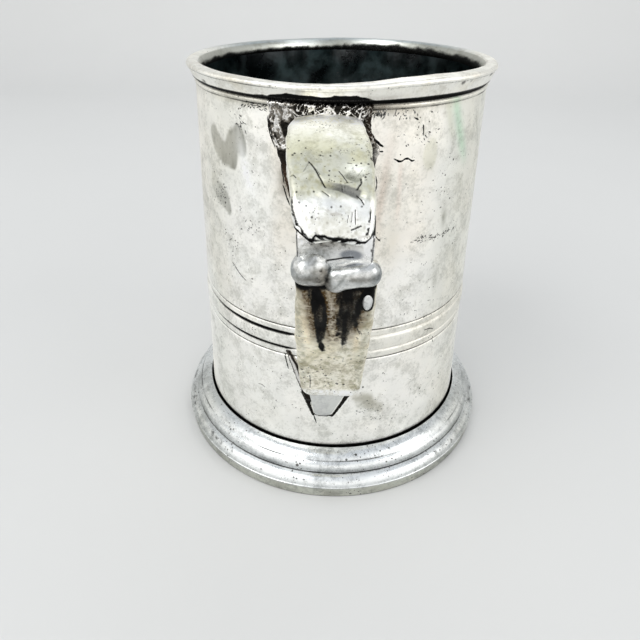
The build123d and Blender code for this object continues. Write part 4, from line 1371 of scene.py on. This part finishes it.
def build_lower(material):
    """The lower casting: stained below the repair, ending in a clean edge flat on the drum that carries a
    painted highlight.
    """
    spine = lower_spine()
    total = spine.length[-1]
    counts = (84, 6, 8, 18)

    def corner(s):
        return 1.5 + 0.3 * float(noise(np.array([s, 8.0, 0.0]), 4.0, 175)), 1.0

    def shape(s, across, x, d, width):
        face = step(d, 1.8, 0.2)
        out = arm_relief(across, np.full_like(x, s)) * face
        out = out + 0.20 * float(bump(s, total - 0.7, 0.8)) * face
        place = np.stack([np.sign(x) * 9, np.full_like(x, s), d * 0.3], -1)
        side = 0.16 * noise(place, 5.0, 177) + 0.06 * noise(place, 1.4, 179)
        end = max(0.0, 1 - (total - s) / 3.0)
        drawn_in = 1.5 * (1 - np.sqrt(1 - end * end)) * step(np.abs(x), width / 2 - 3.0, width / 2)
        side = side - np.sign(x) * drawn_in
        return out, side, np.zeros_like(x)

    stations = np.concatenate([np.linspace(0, total - 3, 132), np.linspace(total - 2.75, total, 14)])
    rings, x, d, s = bar(spine, stations, counts, corner, lambda s: 0.22, shape)
    rings, x, d, s = rounded_end(rings, x, d, s, spine.at(total), (0.12, 0.28, 0.34), (0.12, 0.4, 0.9))
    points, faces = capped(rings)
    place = np.stack([x, s, d], -1)
    face = step(d, 1.7, 0.4)
    streaky = clouds(place * np.array([1.0, 0.22, 1.0]), 0.9, 3, 181)
    cloud = clouds(place, 3.2, 3, 183)
    rough = clouds(place, 1.0, 3, 187)
    away, _ = to_line(x, s, ARM_STREAK)
    half = np.interp(s, (0, 3, 6, 11, 17, 24, 31), (2.0, 1.7, 1.75, 1.75, 1.35, 0.95, 0.50))
    streak = step(away + 1.3 * (0.5 - streaky) + 0.8 * (0.5 - rough), half + 0.4, half - 0.5)
    streak = streak * step(s, 32.5, 30.5)
    away2, _ = to_line(x, s, ARM_BLOTCH)
    half2 = np.interp(s, (0, 3, 8, 14, 20, 28.5), (3.4, 3.1, 2.9, 2.5, 1.6, 0.5))
    blotch = step(away2 + 1.8 * (0.5 - streaky) + 1.6 * (0.5 - rough), half2 + 0.6, half2 - 0.8)
    blotch = blotch * step(s, 29.5, 27.5)
    under_beads = step(s + 1.8 * (cloud - 0.5), 3.5, 1.8)
    uneven = 0.80 + 0.35 * step(streaky, 0.3, 0.7)
    wear_and_light = WearAndLight(x)
    wear_and_light.dirt_and_shade(np.maximum(0.92 * streak, 0.86 * blotch) * uneven)
    wear_and_light.dirt_and_shade(1.1 * under_beads)
    light = bump(x, -0.6, 1.6) * bump(s, 3.6, 2.2)
    wear_and_light.grime_and_shade = wear_and_light.grime_and_shade * (1 - 0.6 * light) * face
    rim = 1.3 + 0.9 * cloud
    stain = 0.95 * step(away, half + 1.5 * rim, half) * step(s, 31, 16)
    stain = np.maximum(stain, 0.90 * step(away2, half2 + 1.5 * rim, half2 - 0.3) * step(s, 30, 15))
    between_them = between(s, 30, 20, 4.0, 7.0) * bump(x, 0.2, 3.0) * step(rough, 0.25, 0.7)
    stain = np.maximum(stain, between_them)
    wear_and_light.stain = stain * (0.50 + 0.85 * streaky) * face
    fill_scratches(wear_and_light, x, s, face, ARM_SCRATCHES, ARM_DOTS, 0.9, 0.30, 0.7)
    plug = np.hypot(x - 7.4, (s - 5.0) * 0.40)
    wear_and_light.dirt_and_shade(1.1 * step(plug, 1.9, 1.5) * step(x, 9.4, 8.2))
    shade = bump(to_line(x, s, ARM_STEP)[0], 0.7, 0.7) * face
    beyond = step(d, 2.5, 5.0)
    wear_and_light.dirt_and_shade(0.5 * beyond * cloud)
    wear_and_light.dirt_and_shade(1.1 * step(s, total + 0.18, total + 0.3))
    wear_and_light.colour(0.5 * step(s, 48, 26) * step(cloud, 0.25, 0.75), (0.90, 0.83, 0.66))
    mottle = step(clouds(place, 1.1, 3, 189), 0.50, 0.74) * step(s, 20, 32)
    wear_and_light.colour(0.80 * mottle, (0.54, 0.53, 0.41))
    specks = step(clouds(place, 0.55, 2, 203), 0.70, 0.84) * step(s, 14, 26) * face
    wear_and_light.dirt_and_shade(0.75 * specks * (0.3 + 0.7 * cloud))
    # Painted blue-grey sheen on the upper part of the right blotch
    blue_sheen = blotch * bump(s, 9, 7) * step(x, 1.0, 3.0)
    wear_and_light.colour(0.8 * blue_sheen, (0.45, 0.55, 0.70))
    wear_and_light.colour(0.7 * shade, (0.66, 0.64, 0.52))
    bevel = bump(x, -7.9, 0.9) + bump(x, 7.7, 0.9)
    wear_and_light.colour(0.8 * bevel * face * step(rough, 0.2, 0.7), (0.56, 0.57, 0.52))
    pale = bump(x, -6.1, 1.0) * bump(s, 18, 10) + bump(x, 5.8, 0.9) * bump(s, 25, 7)
    wear_and_light.colour(0.8 * pale * face, (1.12, 1.04, 0.92))
    shadow = bump(x, 6.4, 1.2) * bump(s, 36, 6)
    wear_and_light.colour(0.5 * shadow * face, (0.70, 0.70, 0.62))
    # Painted cool highlight on the rounded end
    wear_and_light.colour(0.85 * step(s, total - 3.0, total - 1.6) * face, (1.06, 1.10, 1.22))
    wear_and_light.dull = 0.04 + 0.06 * cloud * face
    marks = wear_and_light.marks(2)
    return make_piece("lower_casting", points, faces, material, "lower_handle", marks)


def build_neck(material):
    """The thin throat between the castings: a trough, rough where it tore and smooth where solder ran."""
    upper, lower = upper_spine(), lower_spine()
    box_low, box_high = box_mm("handle_neck")
    half = (box_high.x - box_low.x) / 2
    gap = float(np.hypot(*(upper.outer[-1] - lower.outer[0])))
    rows, columns, back = 78, 64, 6.2
    above, below = 5.5, 1.4
    upper_part = upper.length > upper.length[-1] - above
    lower_part = lower.length < below
    course = np.concatenate([upper.outer[upper_part], lower.outer[lower_part]])
    along = np.concatenate([upper.length[upper_part] - upper.length[-1], lower.length[lower_part] + gap])
    place = np.linspace(along[0], along[-1], rows)
    middle_r, middle_h = (np.interp(place, along, course[:, i]) for i in (0, 1))
    ahead = np.gradient(np.stack([middle_r, middle_h], -1), axis=0)
    ahead = np.stack([np.convolve(np.pad(v, 6, "edge"), np.ones(13) / 13, "valid") for v in ahead.T], -1)
    ahead /= np.linalg.norm(ahead, axis=1, keepdims=True)
    out_r, out_h = -ahead[:, 1], ahead[:, 0]
    t = place / gap
    found = []
    for i in range(rows):
        x, d = section(2 * half + 0.6, back - 1.3, (1.0, 0.8), 0.0, (columns, 4, 6, 14))
        at = np.stack([x, np.full_like(x, t[i] * 10), d], -1)
        trough = 1.05 - 0.45 * (x / half) ** 2 + 0.55 * sin(pi * min(max(t[i], 0), 1))
        rough = float(step(t[i], 0.45, 0.15))
        lumps = 0.16 * noise(at, 3.0, 191) + rough * 0.34 * fractal(at, 1.0, 3, 193)
        ridge = 0.45 * bump(x, -half, 1.6) * bump(t[i], 0.15, 0.25)
        ridge = ridge + 0.40 * bump(x, half, 1.3) * bump(t[i], 0.2, 0.2)
        swell = 0.5 * float(step(t[i], 0.45, 0.95)) * bump(x, -4.5, 3.0)
        under_cut = 0.8 * float(step(t[i], 0.0, -0.35)) * step(x, -5.0, -2.5)
        face = step(d, 1.4, 0.2)
        out = -d - 1.3 + face * (1.3 - trough + lumps + ridge + swell - under_cut)
        r = middle_r[i] + out_r[i] * out
        h = middle_h[i] + out_h[i] * out
        found.append((np.stack([x, -r, h], -1), np.full_like(x, t[i]), x, d))
    rings, ts, xs, ds = stacked(found)
    points, faces = capped(rings)
    place = np.stack([xs, ts * 10, ds], -1)
    cloud = clouds(place, 2.0, 3, 195)
    torn = step(ts, 0.50, 0.08)
    wear_and_light = WearAndLight(xs)
    wear_and_light.dirt_and_shade(0.9 * step(ts, -0.02, -0.12) * step(xs, -5.5, -4.0))
    fine = clouds(place, 0.8, 3, 197)
    middle = step(np.abs(xs + 0.5), half - 0.8, half - 3.4)
    wear_and_light.dirt_and_shade(0.75 * torn * middle * step(fine, 0.42, 0.72))
    line, _ = to_line(xs, ts * 9.7, ((-1.6, 5.6), (1.2, 5.1), (3.6, 4.8)))
    wear_and_light.dirt_and_shade(1.1 * bump(line, 0, 0.22) * step(ds, 1.0, 0.2))
    wear_and_light.dirt_and_shade(0.9 * step(ds, 1.0, 2.6))
    wear_and_light.dirt_and_shade(0.9 * bump(np.abs(xs + 0.1), half + 0.05, 0.30) * step(fine, 0.25, 0.5))
    wear_and_light.dirt_and_shade(0.9 * bump(xs, half - 0.3, 0.4) * bump(ts, 0.28, 0.06) * step(ds, 1.2, 0.4))
    wear_and_light.colour(0.95 * middle * torn * (0.5 + 0.5 * fine), (0.34, 0.33, 0.29))
    # Painted highlights on the two upper corners
    corner = np.maximum(bump(xs, -half + 1.2, 1.7), bump(xs, half - 0.8, 1.4)) * bump(ts, 0.10, 0.34)
    wear_and_light.colour(0.95 * step(corner, 0.25, 0.7), (1.5, 1.5, 1.5))
    # Painted dark reflection in the mirror-like hollow on the right
    mirror = bump(xs, 3.2, 2.4) * bump(ts, 0.44, 0.13)
    wear_and_light.colour(0.95 * step(mirror, 0.2, 0.6), (0.30, 0.32, 0.36))
    slope = bump(xs, -3.2, 3.0) * bump(ts, 0.45, 0.16)
    wear_and_light.colour(0.8 * slope, (0.42, 0.44, 0.44))
    wear_and_light.stain = 0.35 * torn * cloud
    wear_and_light.dull = 0.12 * torn
    return make_piece("handle_throat", points, faces, material, "handle_neck", wear_and_light.marks(2))


# ---- Repair solder

def melted(centre, balls, blend, rings=72):
    """A smooth skin over balls that have run together, seen from a centre inside them.

    Each ball is (across, reach, height, half sizes). blend is how softly they join, in millimetres."""
    columns = 2 * rings
    polar_angle = np.linspace(0, pi, rings + 2)[1:-1]
    turn = np.arange(columns) * 2 * pi / columns
    p, t = np.meshgrid(polar_angle, turn, indexing="ij")
    way = np.stack([np.cos(p), np.sin(p) * np.cos(t), np.sin(p) * np.sin(t)], -1).reshape(-1, 3)
    way = np.concatenate([way, [[1, 0, 0], [-1, 0, 0]]])

    def outside(points):
        total = np.zeros(len(points))
        for x, reach, height, size in balls:
            off = (points - np.array([x, -reach, height])) / np.array(size)
            near = (np.linalg.norm(off, axis=1) - 1) * min(size)
            total += np.exp(-near / blend)
        return -blend * np.log(total + 1e-12)

    start = np.array([centre[0], -centre[1], centre[2]])
    low, high = np.zeros(len(way)), np.full(len(way), 16.0)
    for _ in range(26):
        middle = (low + high) / 2
        out = outside(start + way * middle[:, None]) > 0
        low, high = np.where(out, low, middle), np.where(out, middle, high)
    points = start + way * low[:, None]
    return points, closed_faces(rings, columns), way


# The beads' balls: place from the bead's middle, across, out and up, and half sizes
DROP_BALLS = (
    ((-0.7, -0.3, 0.1), (3.2, 3.3, 3.2)),
    ((2.2, -0.5, -0.6), (2.5, 2.7, 2.8)),
    ((0.6, -1.6, 2), (2.8, 2.2, 2.4)),
)
ROLL_BALLS = (
    ((-3.4, -0.3, -0.9), (2.5, 2.7, 3)),
    ((-0.6, -0.3, -0.1), (2.8, 2.6, 2.6)),
    ((1.8, -0.3, 0.5), (2.8, 2.6, 2.6)),
    ((3.7, -0.5, 0.5), (2.3, 2.4, 2.6)),
)


def drop_wear_and_light(x, drop):
    """Where the left bead is pitted, has painted shade in the crease between its balls, and has a painted
    dark reflection in a band, by distance across and up from its middle.
    """
    pit = bump(x, 2.7, 1.6) * step(drop, 2.2, 0.8)
    hollow = bump(x, 1.2, 0.5) * between(drop, -0.5, 0.8, 3.2, 2.2)
    return pit, hollow, bump(drop, -0.6, 0.8) * bump(x, -0.6, 2.4)


def roll_wear_and_light(x, drop):
    """The same for the right bead."""
    pit = bump(x, -5.2, 1.0) * step(drop, 1.4, 0.0)
    hollow = bump(x - drop * 0.7, -2.3, 0.45) * between(drop, -2.4, -1.2, 2.0, 1.0)
    return pit, hollow, bump(drop, 0.5, 0.7) * step(x, -1.8, 0.2)


def build_bead(name, node, balls, worn_and_lit, material):
    """A run of solder that mends the break, with painted shade and a painted dark reflection on it."""
    low, high = box_mm(node)
    x, y, height = (low + high) / 2
    placed = [(x + dx, -y + out, height + up, size) for (dx, out, up), size in balls]
    points, faces, way = melted((x, -y - 0.4, height), placed, 0.55)
    swirl = 0.10 * noise(points, 2.8, 201) + 0.02 * fractal(points, 0.8, 2, 203)
    points = points + way * swirl[:, None]
    cloud, fine = clouds(points, 1.6, 3, 205), clouds(points, 0.7, 3, 207)
    pit, hollow, reflection_band = worn_and_lit(points[:, 0] - x, points[:, 2] - height)
    wear_and_light = WearAndLight(cloud)
    wear_and_light.dirt_and_shade(0.62 * pit * (0.3 + 0.9 * step(fine, 0.35, 0.65)))
    wear_and_light.dirt_and_shade(step(points[:, 2], low.z + 0.5, low.z - 0.2))
    wear_and_light.colour(0.8 * step(cloud, 0.35, 0.75), (0.70, 0.71, 0.71))
    # Painted shade in the crease between the balls
    wear_and_light.colour(0.75 * hollow, (0.38, 0.39, 0.38))
    wear_and_light.colour(0.9 * pit * (0.4 + 0.6 * fine), (0.36, 0.34, 0.28))
    # Painted dark reflection in a band across the bead
    wear_and_light.colour(0.95 * reflection_band * (0.6 + 0.4 * cloud), (0.25, 0.235, 0.20))
    # Painted shade at both ends, where the bead turns away
    wear_and_light.colour(0.75 * step(np.abs(way[:, 0]), 0.70, 0.98), (0.34, 0.37, 0.39))
    wear_and_light.stain = 0.6 * pit * cloud
    wear_and_light.dull = 0.16 * pit
    return make_piece(name, points, faces, material, node, wear_and_light.marks(), 180)


def build_plug(material):
    """The oval plug of the vent hole, a low dome in the right shoulder."""
    low, high = box_mm("vent_plug")
    x, y, height = (low + high) / 2
    centre = (x + 0.15, 0.35 - y, height + 0.3)
    points, faces, way = melted(centre, ((*centre, (1.15, 1.7, 2.7)),), 0.3, 36)
    points = points + way * (0.07 * noise(points, 1.3, 211))[:, None]
    wear_and_light = WearAndLight(points[:, 0])
    wear_and_light.dull += 0.12
    return make_piece("vent_stopper", points, faces, material, "vent_plug", wear_and_light.marks(), 180)


PATCH_SPACING = 0.20
ABSENT = -0.14              # a crust's thickness where there is none
CRUST_SINK = 0.12           # how far its skin sinks into the wall at its edge
CRUST_ROOT = 0.45           # how deep in the wall its underside lies


def patch(name, node, span, thickness, marks_of, material):
    """A crust of solder on the drum, of thickness(azimuth, z) millimetres, below 0 where there is none."""
    (a0, z0), (a1, z1) = span
    azimuth = np.linspace(a0, a1, int(radians(a1 - a0) * MID_R / PATCH_SPACING))
    heights = np.linspace(z0, z1, int((z1 - z0) / PATCH_SPACING))
    a, z = np.meshgrid(azimuth, heights)
    thick = thickness(a, z)
    wall = drum_surface(a, z)
    outer = polar(a, wall + np.maximum(thick, -CRUST_SINK), z)
    inner = polar(a, wall - CRUST_ROOT, z)
    quads = np.array(grid_faces(*a.shape))
    quads = quads[(thick > -0.1).ravel()[quads].any(axis=1)]
    edges = {}
    for quad in quads:
        for edge in zip(quad, np.roll(quad, -1)):
            if edges.pop(edge[::-1], None) is None:
                edges[edge] = True
    faces = quads.tolist() + (quads[:, ::-1] + a.size).tolist()
    faces += [[e[1], e[0], e[0] + a.size, e[1] + a.size] for e in edges]
    used = np.unique([i for f in faces for i in f])
    renumber = np.full(2 * a.size, -1)
    renumber[used] = np.arange(len(used))
    points = np.concatenate([outer.reshape(-1, 3), inner.reshape(-1, 3)])[used]
    faces = [[int(renumber[i]) for i in f] for f in faces]
    marks = {key: np.tile(value.ravel(), 2)[used] for key, value in marks_of(a, z).items()}
    return make_piece(name, points, faces, material, node, marks, 180)


UPPER_LEFT_EDGE = (
    (-24.4, 115), (-23.3, 113), (-23.9, 110.8), (-23.6, 108.8), (-22.5, 106.9), (-21.1, 104.5),
    (-19.6, 101.5),
    (-18.7, 98.5), (-17.3, 95.2), (-15.5, 91.2),
)
UPPER_RIGHT_EDGE = (
    (10.8, 115), (10.6, 112.5), (10.6, 110), (11.4, 107.8), (13.4, 106.2), (13.8, 104.6), (12.6, 102),
    (12.2, 97), (10.6, 93),
)


def edge_at(z, edge):
    """The azimuth of an edge at a height."""
    azimuths, heights = zip(*reversed(edge))
    return np.interp(z, heights, azimuths)


WRINKLE_TILTS = (0.45, -0.62, 1.2)


def wrinkles(a, z, seed):
    """Fine crossing wrinkles, from 0 between them to 1 on their crests."""
    lines = np.zeros(np.shape(a))
    for i, tilt in enumerate(WRINKLE_TILTS):
        along = a * PER_DEGREE * cos(tilt) + z * sin(tilt)
        across = z * cos(tilt) - a * PER_DEGREE * sin(tilt)
        folds = fractal(np.stack([along * 0.30, across * 1.15, along * 0 + 7.0 * i], -1), 1.0, 2, seed + i)
        lines = np.maximum(lines, step(1 - np.abs(folds), 0.84, 0.98))
    return lines


def upper_crust(a, z):
    """Thickness of the wrinkled solder round the handle's root."""
    places = polar(a, MID_R, z)
    edge = np.minimum(a - edge_at(z, UPPER_LEFT_EDGE), edge_at(z, UPPER_RIGHT_EDGE) - a) * PER_DEGREE
    edge = edge + 0.30 * noise(places, 1.4, 221) + 0.12 * noise(places, 0.5, 222)
    body = step(edge, 0.0, 0.5)
    level = 0.22 + 0.35 * step(z, 109, 113.5) + 0.20 * step(edge, 0.6, 0.0) * step(a, -14, -20)
    thick = body * (level + 0.34 * wrinkles(a, z, 223) * step(z, 98, 106)) + ABSENT * (1 - body)
    bottom = step(z, 91.4, 92.6)
    top = step(z, THREAD_Z + 0.9, THREAD_Z + 0.3)
    return thick * bottom * top + ABSENT * (1 - bottom * top)


def upper_crust_marks(a, z):
    """Where the upper crust is bright metal, brown, or wiped clean."""
    places = polar(a, MID_R, z)
    cloud = clouds(places, 2.4, 3, 225)
    crests = wrinkles(a, z, 223)
    gap = edge_gap(a, z)
    foil = between(z, 103.5, 106.0, 114.4, 112.4) * step(gap + 1.6 * (cloud - 0.5), 4.6, 3.2)
    middle = step(z, 110.0, 112.0) * between(a, -17, -13, 10, 6)
    right = step(z, 104, 108) * step(a, 7, 10)
    crest = 0.10 + crests * (0.22 + 0.74 * middle + 0.45 * right)
    crest = np.maximum(crest, foil * (0.52 + 0.5 * (cloud - 0.4) + 0.42 * crests * (cloud > 0.4)))
    crest = crest - 0.55 * foil * bump(gap, 0.25, 0.28)
    crest = crest - 0.35 * foil * bump(gap, 1.6 + 1.2 * (cloud - 0.5), 0.22)
    mottled = step(z, 110.0, 112.5) * step(a, -12, -16)
    crest = np.maximum(crest, mottled * (0.40 + 0.7 * (cloud - 0.35) + 0.35 * crests))
    left_low = step(z, 104, 98) * step(a, 0, -8)
    crest = crest + 0.26 * left_low * cloud
    stain = 0.75 * left_low * (0.3 + 0.7 * cloud) + 0.15 * right + 0.10 * mottled * cloud
    clean = 0.9 * bump(a, 13.6, 1.4) * bump(z, 104.6, 1.9) * step(cloud, 0.2, 0.5)
    return {"crest": crest, "stain": stain, "clean": clean}


def edge_gap(a, z):
    """Distance inwards from the upper crust's left edge, in millimetres."""
    return (a - edge_at(z, UPPER_LEFT_EDGE)) * PER_DEGREE


LOWER_LEFT_EDGE = (
    (-18.6, 50.5), (-18.1, 47.3), (-16.4, 44), (-14, 38.7), (-12, 35.3), (-10.4, 32.1), (-8.2, 28.6),
    (-5.8, 22.8),
)


def tongue_gap(a, z):
    """How deep in the dark gap beside the tongue a place lies, black with dirt and painted shade: 1 in the
    middle of it and 0 outside.
    """
    left = bump(a, np.interp(z, (25.6, 33.4), (-7.0, -10.3)), np.interp(z, (25.6, 33.4), (0.45, 1.35)))
    right = bump(a, np.interp(z, (25.2, 33.4), (0.4, 6.3)), np.interp(z, (25.2, 33.4), (0.55, 1.05)))
    sides = np.maximum(left, right) * step(z, 24.9, 25.8)
    under = bump(z, 25.6 + 0.05 * np.abs(a + 3.0) ** 1.6, 0.32) * between(a, -7.4, -6.4, 1.4, 0.6)
    return np.maximum(sides, under)


def lower_crust(a, z):
    """Thickness of the solder at the handle's lower end: a run on the left, and a film beside the tongue that
    is black with dirt and painted shade.
    """
    places = polar(a, 45.0, z)
    left = edge_at(z, LOWER_LEFT_EDGE)
    wide = np.interp(z, (23.6, 30.0, 38.0, 43.5, 47.8), (0.0, 0.8, 2.0, 2.0, 0.6))
    inside = np.minimum((a - left), (left + wide + 2.0 - a)) * 0.78 + 0.16 * noise(places, 1.2, 231)
    run_left = step(inside, 0.0, 0.5) * between(z, 30.5, 32.2, 48.2, 47.0)
    ridges = 0.22 * np.abs(fractal(places, 1.4, 3, 233))
    thick = np.where(run_left > 0.02, run_left * (0.42 - ridges), ABSENT)
    return np.where(tongue_gap(a, z) > 0.35, np.maximum(thick, 0.05), thick)


def lower_crust_marks(a, z):
    """Where the lower solder is bright metal or brown, and black with dirt and painted shade beside the
    tongue.
    """
    places = polar(a, 45.0, z)
    cloud = clouds(places * np.array([1.0, 1.0, 0.5]), 1.3, 3, 235)
    left = edge_at(z, LOWER_LEFT_EDGE)
    run_left = step(z, 31.0, 33.0)
    wide = np.interp(z, (30.0, 38.0, 43.5, 47.8), (1.6, 2.8, 2.8, 1.6))
    outlines = bump(a, left + 0.35, 0.34) + bump(a, left + wide, 0.55)
    crest = run_left * (0.88 + 0.5 * (cloud - 0.45) - 1.0 * outlines - 0.6 * step(z, 37, 33))
    # Black in the gap beside the tongue: dirt and painted shade
    crest = np.where(tongue_gap(a, z) > 0.35, 0.0, crest)
    return {"crest": crest, "stain": 0.10 * run_left * cloud, "clean": a * 0}


def build_tail(material):
    """The tapered tail under the lower end: a flat facet, its sides undercut and black with dirt and painted
    shade.
    """
    low, high = box_mm("tail_tongue")
    points_in = cad_points("tail_tongue")
    top = points_in[points_in[:, 2] > high.z - 0.05]
    tip = points_in[points_in[:, 2] < low.z + 0.05]
    rows, columns = 34, 40
    t = np.linspace(0, 1, rows)
    x0 = top[:, 0].min() + (tip[:, 0].min() - top[:, 0].min()) * t
    x1 = top[:, 0].max() + (tip[:, 0].max() - top[:, 0].max()) * t
    shift = -0.5 - 1.3 * t
    x0, x1 = x0 + 1.0 * (1 - t) + shift, x1 - 1.0 * (1 - t) + shift
    z = high.z + 0.8 + (low.z - high.z - 0.8) * t
    proud_top, proud_tip = -top[:, 1].min(), -tip[:, 1].min()
    reach = proud_top + (proud_tip - proud_top) * t
    found = []
    for i in range(rows):
        depth = max(reach[i] - drum_r(z[i]) + 0.5, 0.6)
        x, d = section(x1[i] - x0[i], depth, (0.35, 0.2), 0.08, (columns, 3, 5, 14))
        middle = (x0[i] + x1[i]) / 2
        place = np.stack([x, np.full_like(x, z[i]), d], -1)
        out = (0.06 * noise(place, 2.6, 241) + 0.03 * noise(place, 0.9, 243)) * step(d, 0.5, 0.1)
        rounding = 0.25 * bump(t[i], 1.0, 0.06)
        sag = 0.45 * (1 - (x / (abs(x).max())) ** 2) * bump(t[i], 1.0, 0.25)
        ring = np.stack([middle + x, -(reach[i] + out - d - rounding), z[i] - sag], -1)
        found.append((ring, np.full_like(x, t[i]), d))
    rings, ts, ds = stacked(found)
    points, faces = capped(rings)
    wear_and_light = WearAndLight(ts)
    # Black on the sides and back: dirt and painted shade under the arm's end
    wear_and_light.dirt_and_shade(1.2 * step(ds, 0.25, 0.6))
    wear_and_light.dirt_and_shade(0.8 * step(ts, 0.93, 1.0))
    wear_and_light.colour(0.5 * bump(ts, 0.85, 0.15), (0.86, 0.86, 0.86))
    return make_piece("handle_tail", points, faces, material, "tail_tongue", wear_and_light.marks(2))


# ---- Stage

ROOM_LOW = (1.20, 1.19, 1.17)
ROOM_HIGH = (0.66, 0.69, 0.73)
ROOM_TURN = (0.30, 0.95)    # heights on the room's sphere between which the one turns into the other
FLOOR_DARK = (0.635, 0.64, 0.635)
FLOOR_LIGHT = (0.655, 0.66, 0.655)
# Square area lights: name, place and aim in metres, size, power and colour
LIGHTS = (
    ("key", (-0.55, -0.45, 0.85), (0, 0, 0.05), 0.6, 3.6, (1.0, 0.99, 0.97)),
    ("fill", (0.7, -0.35, 0.55), (0, 0, 0.05), 0.5, 1.3, (1.0, 0.99, 0.98)),
    ("back", (0.1, 0.55, 0.75), (0, 0, 0.08), 0.5, 0.9, (1.0, 1.0, 1.0)),
)


def build_camera():
    """The camera, above the handle and looking down past the lip."""
    data = bpy.data.cameras.new("camera")
    data.sensor_width = SENSOR
    data.lens = CAMERA_LENS
    data.clip_start = 0.005
    camera = bpy.data.objects.new("camera", data)
    bpy.context.scene.collection.objects.link(camera)
    turn = Matrix.Rotation(-CAMERA_YAW, 4, "Z") @ Matrix.Rotation(pi / 2 - CAMERA_PITCH, 4, "X")
    turn = turn @ Matrix.Rotation(CAMERA_ROLL, 4, "Z")
    camera.matrix_world = Matrix.Translation(Vector(CAMERA_AT) * MM) @ turn
    bpy.context.scene.camera = camera


def build_floor():
    """A plain pale floor that curves up far behind the mug."""
    f = Finish(bpy.data.materials.new("floor"))
    colour = f.mixed(f.noise(120.0, 2.0), FLOOR_DARK, FLOOR_LIGHT)
    f.shade({"Base Color": colour, "Roughness": 0.9, "Specular IOR Level": 0.1})
    half, back, rise, bend = 1.6, 0.9, 0.9, 0.35
    outline = [(-half, 0.0), (back - bend, 0.0)]
    outline += [(back - bend + bend * sin(t), bend - bend * cos(t)) for t in np.linspace(0.1, pi / 2, 14)]
    outline += [(back, rise)]
    points = [(x, y, z) for y, z in outline for x in (-half, half)]
    faces = [(2 * i, 2 * i + 1, 2 * i + 3, 2 * i + 2) for i in range(len(outline) - 1)]
    mesh = bpy.data.meshes.new("floor")
    mesh.from_pydata(points, [], faces)
    mesh.polygons.foreach_set("use_smooth", [True] * len(faces))
    mesh.materials.append(f.owner)
    floor = bpy.data.objects.new("floor", mesh)
    bpy.context.scene.collection.objects.link(floor)


def build_light():
    """A pale room that is brighter low down, a large soft light at the upper left, and two weaker ones."""
    world = bpy.data.worlds.new("room")
    room = Finish(world, "Background", "Generated")
    height = room.node("ShaderNodeSeparateXYZ", "Z", {"Vector": room.place})
    room.shade({"Color": room.mixed(room.span(height, *ROOM_TURN), ROOM_LOW, ROOM_HIGH)})
    bpy.context.scene.world = world
    for name, at, aim, size, power, colour in LIGHTS:
        data = bpy.data.lights.new(name, "AREA")
        data.size, data.energy, data.color = size, power, colour
        lamp = bpy.data.objects.new(name, data)
        bpy.context.scene.collection.objects.link(lamp)
        lamp.location = at
        lamp.rotation_mode = "QUATERNION"
        lamp.rotation_quaternion = (Vector(aim) - Vector(at)).to_track_quat("-Z", "Y")
    bpy.context.scene.view_settings.view_transform = "Standard"


def main():
    build_camera()
    build_floor()
    build_light()
    drum_skin, inside, crust = pewter("drum"), tarnished(), crusted()
    build_drum(drum_skin, inside)
    build_lip(pewter("lip"))
    build_foot(pewter("foot"))
    build_base(inside)
    plate_r = drum_r(BASE_HIGH.z) - Drum.wall
    build_fillet("inner_solder", "base_solder_inner", (plate_r, BASE_HIGH.z), crust, 1)
    build_fillet("under_solder", "base_solder_under", (Drum.low_r - 3.8, Drum.low), crust, -1)
    build_upper(pewter("strap"))
    build_lower(pewter("arm"))
    build_neck(pewter("neck"))
    solder = pewter("solder")
    build_bead("solder_drop", "repair_bead_left", DROP_BALLS, drop_wear_and_light, solder)
    build_bead("solder_roll", "repair_bead_right", ROLL_BALLS, roll_wear_and_light, solder)
    build_plug(solder)
    upper_span, lower_span = ((-27, 90.6), (17, THREAD_Z + 0.9)), ((-21, 24.2), (8.5, 51.5))
    patch("upper_solder", "upper_root_solder", upper_span, upper_crust, upper_crust_marks, crust)
    patch("lower_solder", "lower_root_solder", lower_span, lower_crust, lower_crust_marks, crust)
    build_tail(pewter("tail"))


main()
